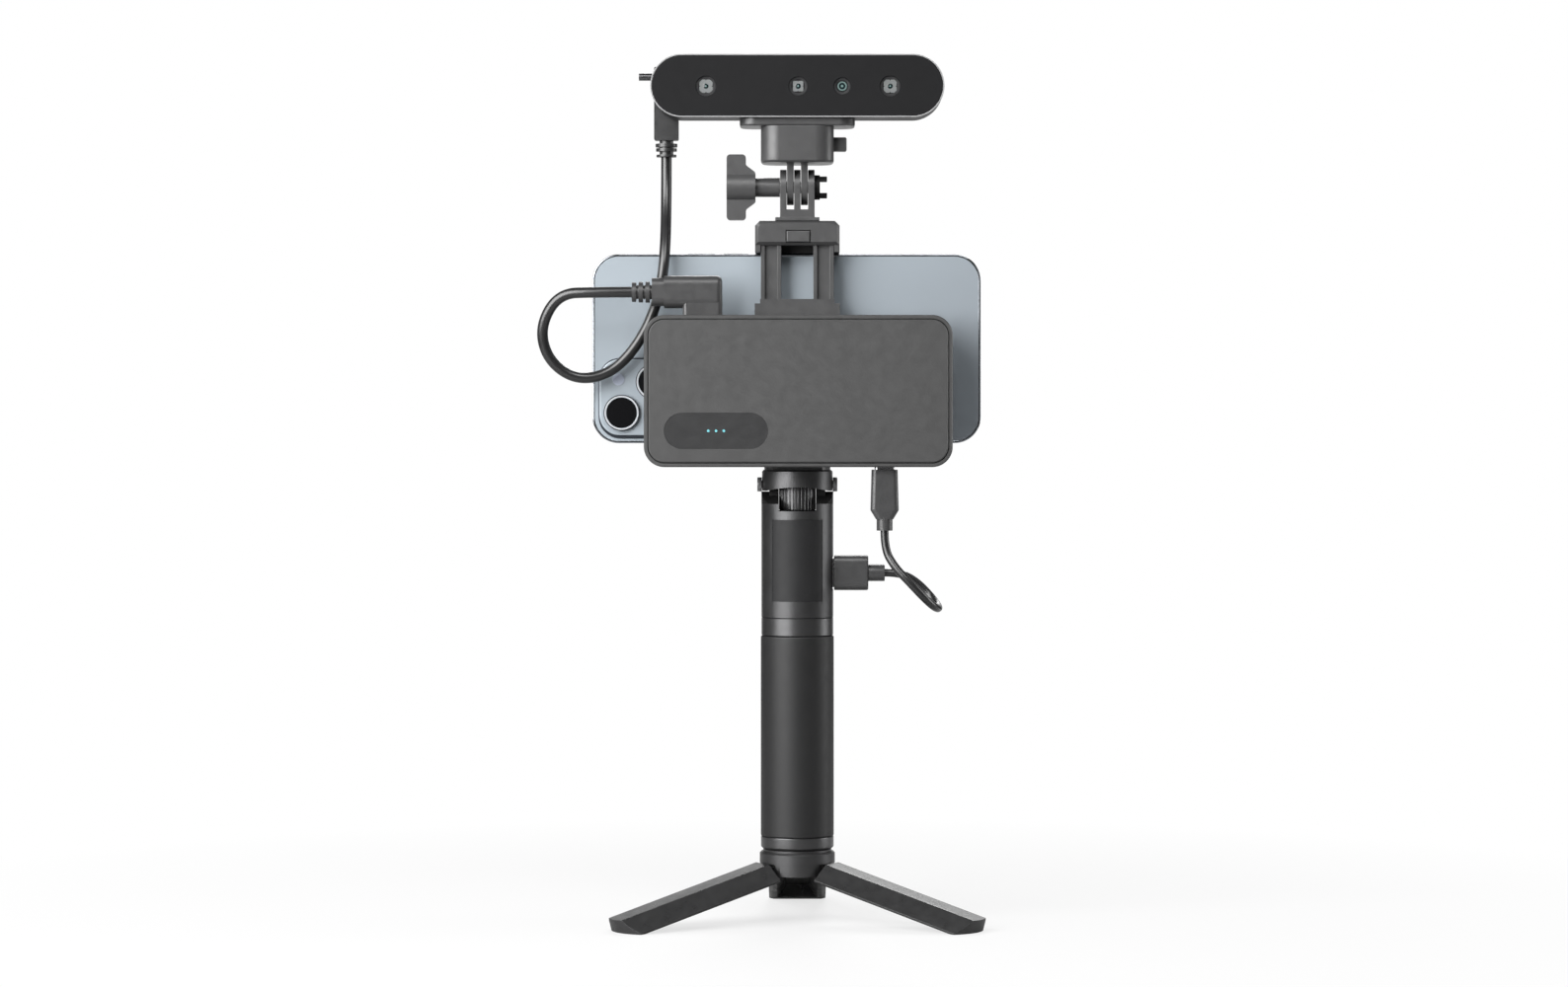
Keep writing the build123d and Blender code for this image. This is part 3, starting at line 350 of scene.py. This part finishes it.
softened("tilt_yoke", 0.2, black_anodised)
softened("lock_wheel", 0.08, turned_anodised)
softened("yoke_screw", 0.15, steel)


# ---------------------------------------------------------------- phone clamp, fixed half
# Glass-filled nylon plate with the lower jaw and the two rail channels, a grooved rubber pad
# in the jaw, and two steel springs under the rails.

softened("holder_body", 0.25, clamp_nylon)
pad_rubber = moulding("pad_rubber", (0.018, 0.018, 0.018), 0.62, grain=1500, bite=0.3, specular=0.3)


def grooved_pad(node, ridge_side):
    """A jaw pad with ridges across the face that touches the phone: 1 its upper face, -1 its lower."""
    low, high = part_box(node)
    ridges, rows_per_ridge = 14, 4
    pitch = (high.x - low.x) / ridges
    groove = 0.00035
    shape = bmesh.new()
    bmesh.ops.create_grid(shape, x_segments=ridges * rows_per_ridge, y_segments=1, size=0.5)
    bmesh.ops.scale(shape, vec=(high.x - low.x, high.y - low.y, 1), verts=shape.verts)
    face_z = high.z if ridge_side > 0 else low.z
    bmesh.ops.translate(shape, verts=shape.verts, vec=((low.x + high.x) / 2, (low.y + high.y) / 2, face_z))
    for vertex in shape.verts:
        along = (vertex.co.x - low.x) / pitch
        between_ridges = round(rows_per_ridge * along) % rows_per_ridge == 0
        if between_ridges and 0.01 < along < ridges - 0.01:
            vertex.co.z -= ridge_side * groove
    depth = -ridge_side * (high.z - low.z)
    lifted = bmesh.ops.extrude_face_region(shape, geom=shape.faces[:])
    for item in lifted["geom"]:
        if isinstance(item, bmesh.types.BMVert):
            item.co.z = face_z + depth
    bmesh.ops.recalc_face_normals(shape, faces=shape.faces)
    return piece_from(shape, node + "_part", node, pad_rubber)


grooved_pad("lower_jaw_pad", 1)


def coil(start, end, coil_radius, wire_radius, turns):
    """A wire coil: a small circle spun along the coil's axis, one turn after another."""
    start, end = place(*start), place(*end)
    along = end - start
    axis = along.normalized()
    across = Vector((0, 1, 0))
    shape = bmesh.new()
    wire = bmesh.ops.create_circle(shape, cap_ends=True, radius=wire_radius / 1000, segments=8)
    facing = axis.cross(across).to_track_quat("Z", "Y").to_matrix()
    bmesh.ops.rotate(shape, verts=wire["verts"], matrix=facing)
    bmesh.ops.translate(shape, verts=wire["verts"], vec=start + across * coil_radius / 1000)
    steps = 20 * turns
    bmesh.ops.spin(shape, geom=shape.faces[:], cent=start, axis=axis, dvec=along / steps,
                   angle=2 * pi * turns, steps=steps, use_merge=False, use_duplicate=False)
    bmesh.ops.recalc_face_normals(shape, faces=shape.faces)
    return shape


def joined(shapes):
    """Several closed shapes as one."""
    whole = bmesh.new()
    for shape in shapes:
        carrier = bpy.data.meshes.new("carrier")
        shape.to_mesh(carrier)
        shape.free()
        whole.from_mesh(carrier)
        bpy.data.meshes.remove(carrier)
    return whole


spring_steel = anodising("spring_steel", (0.35, 0.34, 0.33), 0.30, metallic=1.0, specular=0.5, grain=3000)


def compressed_piece(shape, node):
    """Coils in one piece with their placing baked in; the piece stands for its node."""
    name = node + "_part"
    mesh = bpy.data.meshes.new(name)
    shape.to_mesh(mesh)
    shape.free()
    mesh.shade_smooth()
    piece = wear(bpy.data.objects.new(name, mesh), spring_steel)
    scene.collection.objects.link(piece)
    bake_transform(piece)
    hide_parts(node)


jaw_coils = [coil((x, -4, 203.5), (x, -4, 225.5), 2.0, 0.33, 11) for x in (-10.95, 10.95)]
compressed_piece(joined(jaw_coils), "jaw_springs")


# ---------------------------------------------------------------- phone clamp, sliding half
# The upper jaw with its rubber pad, two channel rails fixed in it, and the push plate that
# frees the accessory foot.

softened("jaw_rails", 0.12, clamp_nylon)
softened("upper_jaw", 0.3, clamp_nylon)
grooved_pad("upper_jaw_pad", -1)
softened("latch_button", 0.15, clamp_nylon)


# ---------------------------------------------------------------- tilt joint
# A three-prong mount on an accessory foot, a castellated nut in its right-hand prong, and a
# wing knob moulded on a steel bolt; all but the bolt are glass-filled nylon.

softened("finger_mount", 0.2, clamp_nylon)
softened("finger_nut", 0.12, neck_plastic)
softened("thumb_knob", 0.5, clamp_nylon, segments=3)
softened("thumb_bolt", 0.2, steel)


# ---------------------------------------------------------------- quick-release block
# A moulded block with two fingers under it and a spring-loaded button in its side.  The
# scanner's shoe plate slides into its top.

softened("release_block", 0.25, clamp_nylon)
softened("release_button", 0.2, clamp_nylon)
release_coil = coil((6.3, 0, 324.1), (9.1, 0, 324.1), 1.65, 0.25, 4)
compressed_piece(release_coil, "release_spring")
softened("shoe_plate", 0.25, clamp_nylon)


# ---------------------------------------------------------------- relay box
# Two moulded covers round the radio board, screwed from behind.  The front cover has a raised
# face inside a lower rim, and a pill-shaped recess with an inlay that bears three dots.


def second_tone(piece, material, chosen):
    """Give another material to the faces that a test on their centre, in mm, and normal picks."""
    piece.data.materials.append(material)
    for face in piece.data.polygons:
        if chosen(face.center * 1000, face.normal):
            face.material_index = 1


box_plastic = moulding("box_plastic", (0.080, 0.080, 0.080), 0.40, grain=2300, bite=0.3, specular=0.7)
front_cover = softened("bridge_front_cover", 0.2, box_plastic)
# The front faces 22.7 to 22.9 mm forward, in the step round the raised face, take the near-black neck
# plastic: painted shade in that groove.
second_tone(front_cover, neck_plastic, lambda at, normal: -22.9 < at.y < -22.7 and normal.y < -0.9)
softened("bridge_rear_shell", 0.2, box_plastic)
softened("bridge_board", 0.05, board_material)
softened("bridge_screws", 0.08, dark_steel)
badge_inlay = moulding("badge_inlay", (0.042, 0.042, 0.043), 0.38, grain=3000, bite=0.1, specular=0.45)
softened("bridge_badge", 0.06, badge_inlay)

# The dots are plain and round, printed in pale cyan in the middle of the inlay.
dot_ink, dot_tree, dot_shader = named_material("dot_ink", specular=0.4)
dot_tree.links.new(blend_of(dot_tree, span(dot_tree, noise(dot_tree, 400.0), 0, 1), (0.17, 0.60, 0.68),
                            (0.24, 0.70, 0.76)), dot_shader.inputs["Base Color"])
dot_tree.links.new(span(dot_tree, noise(dot_tree, 900.0), 0.35, 0.5), dot_shader.inputs["Roughness"])
badge_low, badge_high = (corner * 1000 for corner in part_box("bridge_badge"))
badge_middle = (badge_low + badge_high) / 2
dot_radius, dot_spacing, dot_proud, dot_depth = 0.55, 3.2, 0.04, 0.06
dot_front = badge_low.y - dot_proud
dot_outline = [(0, dot_front), (dot_radius, dot_front), (dot_radius, dot_front + dot_depth),
               (0, dot_front + dot_depth)]
dots = [turned_along_y(dot_outline, steps=32, x=badge_middle.x + side * dot_spacing, z=badge_middle.z)
        for side in (-1, 0, 1)]
piece_from(joined(dots), "badge_dots", "bridge_badge", dot_ink, replace=False)

softened("bridge_plug", 0.25, plug_plastic)
softened("power_plug_c", 0.25, plug_plastic)
softened("usb_c_shells", 0.06, steel)


# ---------------------------------------------------------------- scanner bar
# A deep die-cast shell round a gloss black panel; its front rim is painted pale, a painted highlight.
# Behind four windows sit two infrared cameras, the pattern projector and the colour camera.

scanner_shell = anodising("scanner_shell", (0.040, 0.040, 0.042), 0.52, metallic=0.2, specular=0.2)
painted_rim_highlight = anodising("painted_rim_highlight", (0.42, 0.42, 0.425), 0.36, metallic=0.2, specular=0.5)
shell = softened("head_rear_shell", 0.1, scanner_shell)
# The forward-facing faces of the shell's front rim take a pale metal: a painted highlight.
second_tone(shell, painted_rim_highlight, lambda at, normal: at.y < -13.85 and normal.y < -0.3)
scanner_panel = moulding("scanner_panel", (0.021, 0.021, 0.022), 0.24, grain=900, bite=0.03, specular=0.35,
                         dusty=0.02)
softened("head_front_panel", 0.08, scanner_panel)
optic_black = moulding("optic_black", (0.014, 0.014, 0.015), 0.45, grain=1800, bite=0.2, specular=0.4)
for node in ("ir_cameras", "pattern_projector", "colour_camera"):
    softened(node, 0.1, optic_black)
softened("head_optics_frame", 0.1, scanner_shell)
softened("head_main_board", 0.05, board_material)
softened("head_case_screws", 0.1, dark_steel)
pendant_plastic = moulding("pendant_plastic", (0.036, 0.036, 0.037), 0.36, grain=2100, bite=0.3,
                           specular=0.9)
softened("head_plug", 0.25, pendant_plastic)
softened("head_plug_pin", 0.15, dark_steel)

glass, glass_tree, glass_shader = named_material("window_glass", specular=0.6)
glass_shader.inputs["Alpha"].default_value = 0.10
glass_tint = blend_of(glass_tree, noise(glass_tree, 200.0), (0.02, 0.02, 0.022), (0.03, 0.03, 0.034))
glass_tree.links.new(glass_tint, glass_shader.inputs["Base Color"])
glass_tree.links.new(span(glass_tree, noise(glass_tree, 80.0), 0.03, 0.06), glass_shader.inputs["Roughness"])
softened("optic_windows", 0.06, glass)


# ---------------------------------------------------------------- optics behind the windows
# Each optic shows a dark ring and a small coated lens with a pale disc in its middle: a painted
# glint.  The infrared cameras and the projector have a notched plate of bare nickel-silver round
# the lens, and the colour camera has a pale teal ring round its lens: a painted reflection of the
# lens coating.

ring_grey = moulding("ring_grey", (0.060, 0.060, 0.062), 0.40, grain=2500, bite=0.2)
plate_metal = anodising("plate_metal", (0.42, 0.44, 0.44), 0.38, metallic=0.35, specular=0.5, grain=2800)
lens_coating, lens_tree, lens_shader = named_material("lens_coating", specular=0.9, coat=1.0,
                                                      coat_roughness=0.03)
lens_tint = blend_of(lens_tree, noise(lens_tree, 700.0), (0.004, 0.020, 0.022), (0.008, 0.035, 0.036))
lens_tree.links.new(lens_tint, lens_shader.inputs["Base Color"])
lens_tree.links.new(span(lens_tree, noise(lens_tree, 300.0), 0.06, 0.1), lens_shader.inputs["Roughness"])
# A pale teal coating for the painted glints and the painted reflection ring.
painted_glint_and_reflection = anodising("painted_glint_and_reflection", (0.36, 0.52, 0.50), 0.25, metallic=0.3, specular=0.8, grain=3000)
optics_z = 347.5


def notched_plate(width, x):
    """A thin square plate with a notch in the middle of each side and its corners cut out."""
    cells = 15
    half = width / 2000
    rim = 0.9 * half
    panel = bmesh.new()
    bmesh.ops.create_grid(panel, x_segments=cells, y_segments=cells, size=half)
    bmesh.ops.rotate(panel, verts=panel.verts, matrix=Matrix.Rotation(pi / 2, 3, "X"))
    notches = []
    for face in panel.faces:
        near, far = sorted(abs(c) for c in face.calc_center_median().xz)
        if far > rim and (near < half / cells or near > rim):
            notches.append(face)
    bmesh.ops.delete(panel, geom=notches, context="FACES")
    bmesh.ops.translate(panel, verts=panel.verts, vec=place(x, -12.80, optics_z))
    lifted = bmesh.ops.extrude_face_region(panel, geom=panel.faces[:])
    back = [item for item in lifted["geom"] if isinstance(item, bmesh.types.BMVert)]
    bmesh.ops.translate(panel, verts=back, vec=place(0, 0.2, 0))
    bmesh.ops.recalc_face_normals(panel, faces=panel.faces)
    bmesh.ops.dissolve_limit(panel, angle_limit=radians(1), verts=panel.verts, edges=panel.edges)
    return panel


for label, node, x, ring_radius, plate_width, lens_radius in (
        ("left_ir", "ir_cameras", -37.9, 4.2, 5.5, 1.1),
        ("projector", "pattern_projector", 0.3, 3.9, 4.3, 1.15),
        ("colour", "colour_camera", 18.6, 3.5, 0, 1.7),
        ("right_ir", "ir_cameras", 38.5, 4.25, 5.4, 1.1)):
    ring_inner, ring_outer = ring_radius * 0.74, ring_radius * 0.98
    ring = turned_along_y([(ring_inner, -12.64), (ring_outer, -12.64), (ring_outer, -12.86),
                           (ring_radius * 0.95, -12.90), (ring_radius * 0.77, -12.90), (ring_inner, -12.86)],
                          64, x, optics_z)
    piece_from(ring, label + "_ring", node, ring_grey, replace=False)
    if plate_width:
        plate = notched_plate(plate_width, x)
        piece_from(plate, label + "_plate", node, plate_metal, replace=False)
    lens = turned_along_y([(0, -12.62), (lens_radius, -12.62), (lens_radius, -12.80),
                           (lens_radius * 0.93, -12.82), (lens_radius * 0.75, -12.87),
                           (lens_radius * 0.5, -12.905), (lens_radius * 0.25, -12.925), (0, -12.93)],
                          32, x, optics_z)
    piece_from(lens, label + "_lens", node, lens_coating, replace=False)
    # A pale disc in the middle of each lens: a painted glint.
    painted_glint_disc = turned_along_y([(0, -12.90), (lens_radius * 0.3, -12.90), (lens_radius * 0.3, -12.93),
                                 (lens_radius * 0.2, -12.955), (0, -12.96)], 24, x, optics_z)
    piece_from(painted_glint_disc, label + "_painted_glint_disc", node, painted_glint_and_reflection, replace=False)
    if not plate_width:
        # The collar is a pale teal ring round the colour camera's lens: a painted reflection of its coating.
        reflection_ring_inner, reflection_ring_outer = lens_radius * 0.82, lens_radius * 1.12
        collar = turned_along_y([(reflection_ring_inner, -12.62), (reflection_ring_outer, -12.62), (reflection_ring_outer, -12.92),
                                 (reflection_ring_inner, -12.92)], 48, x, optics_z)
        piece_from(collar, label + "_painted_reflection_ring", node, painted_glint_and_reflection, replace=False)


# ---------------------------------------------------------------- phone
# A flat-sided steel frame round a back of etched glass, with a raised glass island for two
# lenses and a light, and a dark cover glass on the other side.

phone_metal = anodising("phone_metal", (0.52, 0.55, 0.59), 0.18, metallic=1.0, specular=0.5, grain=2800)
softened("phone_frame", 0.2, phone_metal)
etched_glass, etched_tree, etched_shader = named_material("etched_glass", metallic=0.2, coat=0.5,
                                                          coat_roughness=0.05)
# The glass is painted lighter towards the upper left and darker towards the lower right, slantwise across
# the back: a painted sheen and painted shade.
painted_sheen_source = etched_tree.nodes.new("ShaderNodeTexCoord")
painted_sheen_axes = etched_tree.nodes.new("ShaderNodeSeparateXYZ")
painted_sheen_slant = etched_tree.nodes.new("ShaderNodeMath")
painted_sheen_slant.operation = "MULTIPLY_ADD"
painted_sheen_slant.inputs[1].default_value = -0.8
etched_tree.links.new(painted_sheen_source.outputs["Object"], painted_sheen_axes.inputs["Vector"])
etched_tree.links.new(painted_sheen_axes.outputs["Z"], painted_sheen_slant.inputs[0])
etched_tree.links.new(painted_sheen_axes.outputs["X"], painted_sheen_slant.inputs[2])
etched_tree.links.new(blend_of(etched_tree, span(etched_tree, painted_sheen_slant.outputs["Value"], 0, 1, -0.20, -0.095),
                               (0.46, 0.52, 0.57), (0.36, 0.40, 0.44)), etched_shader.inputs["Base Color"])
etched_tree.links.new(span(etched_tree, noise(etched_tree, 500.0), 0.34, 0.42),
                      etched_shader.inputs["Roughness"])
relief(etched_tree, etched_shader, noise(etched_tree, 3200.0, detail=2.0), 0.15, 0.00003)
softened("phone_back", 0.15, etched_glass)
screen_glass = moulding("screen_glass", (0.006, 0.006, 0.007), 0.06, grain=60, bite=0.01, specular=0.7,
                        dusty=0.02)
softened("phone_screen", 0.15, screen_glass)
lens_rim = anodising("lens_rim", (0.72, 0.74, 0.77), 0.30, metallic=0.2, specular=0.5)
# A dark blue metal for the lens skirts, also used as painted shade round the camera island.
dark_trim_and_painted_shade = anodising("dark_trim_and_painted_shade", (0.045, 0.052, 0.065), 0.30, metallic=0.5, specular=0.5)
for label, x, z in (("lower", -73.4, 212.0), ("upper", -60.0, 225.0)):
    rim = turned_along_y([(6.5, -0.45), (6.5, -0.98), (6.6, -1.1), (7.05, -1.1), (7.15, -1.0),
                          (7.15, -0.45)], 96, x, z)
    piece_from(rim, label + "_lens_rim", "phone_back", lens_rim, replace=False)
    skirt = turned_along_y([(7.15, -0.45), (7.15, -1.02), (7.4, -1.02), (7.54, -0.9), (7.54, 0.6),
                            (7.3, 0.6), (7.3, -0.45)], 96, x, z)
    piece_from(skirt, label + "_lens_skirt", "phone_back", dark_trim_and_painted_shade, replace=False)
    cover = turned_along_y([(0, -0.96), (4.0, -0.955), (6.2, -0.94), (6.5, -0.9), (6.5, -0.52), (0, -0.52)],
                           96, x, z)
    piece_from(cover, label + "_lens_glass", "phone_back", screen_glass, replace=False)


def rounded_loop(shape, low, high, corner, y):
    """A closed loop of vertices round a rectangle with round corners, in millimetres."""
    loop = []
    middles = ((high[0] - corner, high[1] - corner), (low[0] + corner, high[1] - corner),
               (low[0] + corner, low[1] + corner), (high[0] - corner, low[1] + corner))
    steps = 12
    for quarter, (x, z) in enumerate(middles):
        for step in range(steps + 1):
            turn = radians(90 * (quarter + step / steps))
            loop.append(shape.verts.new(place(x + corner * cos(turn), y, z + corner * sin(turn))))
    return loop


# A dark ring round the camera island, wider below it: painted shade where the island's side wall falls dark.
trim = bmesh.new()
shade_inner = ((-82.7, 202.6), (-50.5, 234.5), 8.5)
shade_outer = ((-83.2, 201.3), (-50.0, 235.0), 9.2)
loops = [rounded_loop(trim, *outline, y) for outline, y in (
    (shade_inner, 1.98), (shade_outer, 1.98), (shade_outer, 1.60), (shade_inner, 1.30))]
for first, second in zip(loops, loops[1:] + loops[:1]):
    for index in range(len(first)):
        trim.faces.new((first[index - 1], first[index], second[index], second[index - 1]))
bmesh.ops.recalc_face_normals(trim, faces=trim.faces)
piece_from(trim, "island_painted_shade", "phone_back", dark_trim_and_painted_shade, replace=False)
lamp_glass = moulding("lamp_glass", (0.55, 0.60, 0.72), 0.25, grain=400, bite=0.1, specular=0.5)
flash = turned_along_y([(0, 0.32), (1.8, 0.34), (2.4, 0.38), (2.55, 0.46), (2.55, 0.6), (0, 0.6)],
                       steps=48, x=-74.8, z=226.0)
piece_from(flash, "flash_lens", "phone_back", lamp_glass, replace=False)


# ---------------------------------------------------------------- the two leads
# Stranded copper in a satin black elastomer jacket.  The thicker lead drops from the scanner
# in front of the phone and loops back into the relay box; it is in two lengths, which meet
# above the phone.  The thinner one doubles back from the handle's side to the relay box.

lead_jacket = moulding("lead_jacket", (0.018, 0.018, 0.0185), 0.30, grain=900, bite=0.03, specular=1.0,
                       dusty=0.02)
scanner_lead_diameter = 0.0045
power_lead_diameter = 0.0034
scanner_lead_top = [place(*p) for p in ((-55.1, 13.0, 319.7), (-55.1, 13.0, 303.8), (-55.05, 3.2, 290.4))]
scanner_lead_loop = [place(*p) for p in (
    (-55.05, 3.2, 290.4), (-55.0, -6.6, 277.0), (-57.6, -5.0, 260.0), (-64.5, -5.0, 243.0),
    (-76.5, -5.2, 228.8), (-91.5, -6.2, 225.3), (-103.6, -8.6, 233.5), (-107.0, -11.2, 247.5),
    (-99.0, -14.0, 261.4), (-83.6, -16.5, 261.9), (-68.4, -16.5, 261.9))]
power_lead_turn = [place(*p) for p in (
    (36.5, 0.0, 145.2), (43.2, 0.0, 145.2), (50.2, 2.0, 141.2), (56.6, 1.0, 134.4),
    (59.4, -7.2, 130.2), (56.4, -15.6, 131.6), (51.6, -20.2, 136.2), (46.0, -20.8, 142.2),
    (40.2, -19.0, 148.2), (36.1, -16.5, 155.4), (36.1, -16.5, 163.2))]


def lay_lead(name, route, diameter, node):
    """A round lead on one smooth curve through its route; the piece stands for its node."""
    line = bpy.data.curves.new(name, "CURVE")
    line.dimensions = "3D"
    spline = line.splines.new("NURBS")
    spline.points.add(len(route) - 1)
    for control, corner in zip(spline.points, route):
        control.co = (*corner, 1)
    spline.order_u = 3
    spline.use_endpoint_u = True
    spline.resolution_u = 14
    string = bpy.data.objects.new(name + "_line", line)
    scene.collection.objects.link(string)
    depsgraph = bpy.context.evaluated_depsgraph_get()
    bare = bpy.data.meshes.new_from_object(string.evaluated_get(depsgraph))
    line.bevel_depth = diameter / 2
    line.bevel_resolution = 7
    line.use_fill_caps = True
    depsgraph.update()
    mesh = bpy.data.meshes.new_from_object(string.evaluated_get(depsgraph))
    mesh.shade_smooth()
    bpy.data.objects.remove(string)
    piece = bpy.data.objects.new(name, mesh)
    scene.collection.objects.link(piece)
    wear(piece, lead_jacket)
    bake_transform(piece)
    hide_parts(node)


lay_lead("scanner_lead_top", scanner_lead_top, scanner_lead_diameter, "scanner_lead_upper")
lay_lead("scanner_lead_loop", scanner_lead_loop, scanner_lead_diameter, "scanner_lead_lower")
lay_lead("power_lead_turn", power_lead_turn, power_lead_diameter, "power_lead")


# ---------------------------------------------------------------- floor and light
# A plain white floor that fades into a white backdrop, in a dim room.  A large soft box stands
# on the left, a narrow one on the right, one hangs high in front and one behind.


def soft_box(name, at, aim, size, power):
    """A rectangular lamp aimed at a point."""
    lamp = bpy.data.lights.new(name, "AREA")
    lamp.shape = "RECTANGLE"
    lamp.size, lamp.size_y = size
    lamp.energy = power
    box = bpy.data.objects.new(name, lamp)
    box.location = at
    box.rotation_euler = (Vector(aim) - Vector(at)).to_track_quat("-Z", "Y").to_euler()
    scene.collection.objects.link(box)


middle = (0, 0, 0.2)
soft_box("left_box", (-0.80, -0.77, 0.62), middle, (1.1, 1.1), 24)
soft_box("right_box", (1.10, 0.15, 0.45), middle, (0.5, 1.0), 4.5)
soft_box("front_box", (0.25, -1.0, 1.25), middle, (0.7, 0.5), 6)
soft_box("rear_box", (0.2, 1.3, 1.1), middle, (0.8, 0.5), 9)


def seen_directly(tree):
    """Two values: 1 for camera, glossy and transmission rays, and 1 for camera rays alone."""
    rays = tree.nodes.new("ShaderNodeLightPath")
    value = rays.outputs["Is Camera Ray"]
    for kind in ("Is Glossy Ray", "Is Transmission Ray"):
        either = tree.nodes.new("ShaderNodeMath")
        either.operation = "MAXIMUM"
        tree.links.new(value, either.inputs[0])
        tree.links.new(rays.outputs[kind], either.inputs[1])
        value = either.outputs["Value"]
    return value, rays.outputs["Is Camera Ray"]


# The backdrop is white; the rest of the room is dim except to the camera.
world = bpy.data.worlds.new("room")
scene.world = world
world.use_nodes = True
room = world.node_tree
background = room.nodes["Background"]
shown, to_camera = seen_directly(room)
room.links.new(span(room, shown, 0.30, 1.0, 0, 1), background.inputs["Strength"])
around = room.nodes.new("ShaderNodeTexCoord")
direction = room.nodes.new("ShaderNodeSeparateXYZ")
room.links.new(around.outputs["Generated"], direction.inputs["Vector"])
backdrop = span(room, direction.outputs["Y"], 0, 1, 0.86, 0.93)
white_part = room.nodes.new("ShaderNodeMath")
white_part.operation = "MAXIMUM"
room.links.new(backdrop, white_part.inputs[0])
room.links.new(to_camera, white_part.inputs[1])
room.links.new(blend_of(room, white_part.outputs["Value"], (0.06, 0.06, 0.06), (1, 1, 1)),
               background.inputs["Color"])

ground = bmesh.new()
bmesh.ops.create_circle(ground, cap_ends=True, radius=0.6, segments=96)
ground_mesh = bpy.data.meshes.new("floor")
ground.to_mesh(ground_mesh)
ground.free()
floor = bpy.data.objects.new("floor", ground_mesh)
scene.collection.objects.link(floor)
floor_white = moulding("floor_white", (0.88, 0.88, 0.88), 0.7, grain=40, bite=0.0, mottle=0.0)
paper = floor_white.node_tree
shown, to_camera = seen_directly(paper)
paper.links.new(blend_of(paper, to_camera, (0.35, 0.35, 0.35), (0.88, 0.88, 0.88)),
                paper.nodes["Principled BSDF"].inputs["Base Color"])
spot = paper.nodes.new("ShaderNodeTexCoord")
distance = paper.nodes.new("ShaderNodeVectorMath")
distance.operation = "LENGTH"
paper.links.new(spot.outputs["Object"], distance.inputs[0])
spot_parts = paper.nodes.new("ShaderNodeSeparateXYZ")
paper.links.new(spot.outputs["Object"], spot_parts.inputs["Vector"])
behind = paper.nodes.new("ShaderNodeMath")
behind.operation = "MAXIMUM"
paper.links.new(span(paper, spot_parts.outputs["Y"], 0, 1, 0.05, 0.30), behind.inputs[0])
paper.links.new(to_camera, behind.inputs[1])
glow_share = span(paper, distance.outputs["Value"], 0.72, 1.0, 0.12, 0.45)
for factor in (shown, behind.outputs["Value"]):
    product = paper.nodes.new("ShaderNodeMath")
    product.operation = "MULTIPLY"
    paper.links.new(glow_share, product.inputs[0])
    paper.links.new(factor, product.inputs[1])
    glow_share = product.outputs["Value"]
glow = paper.nodes.new("ShaderNodeEmission")
fade = paper.nodes.new("ShaderNodeMixShader")
paper.links.new(glow_share, fade.inputs["Fac"])
paper.links.new(paper.nodes["Principled BSDF"].outputs["BSDF"], fade.inputs[1])
paper.links.new(glow.outputs["Emission"], fade.inputs[2])
paper.links.new(fade.outputs["Shader"], paper.nodes["Material Output"].inputs["Surface"])
wear(floor, floor_white)
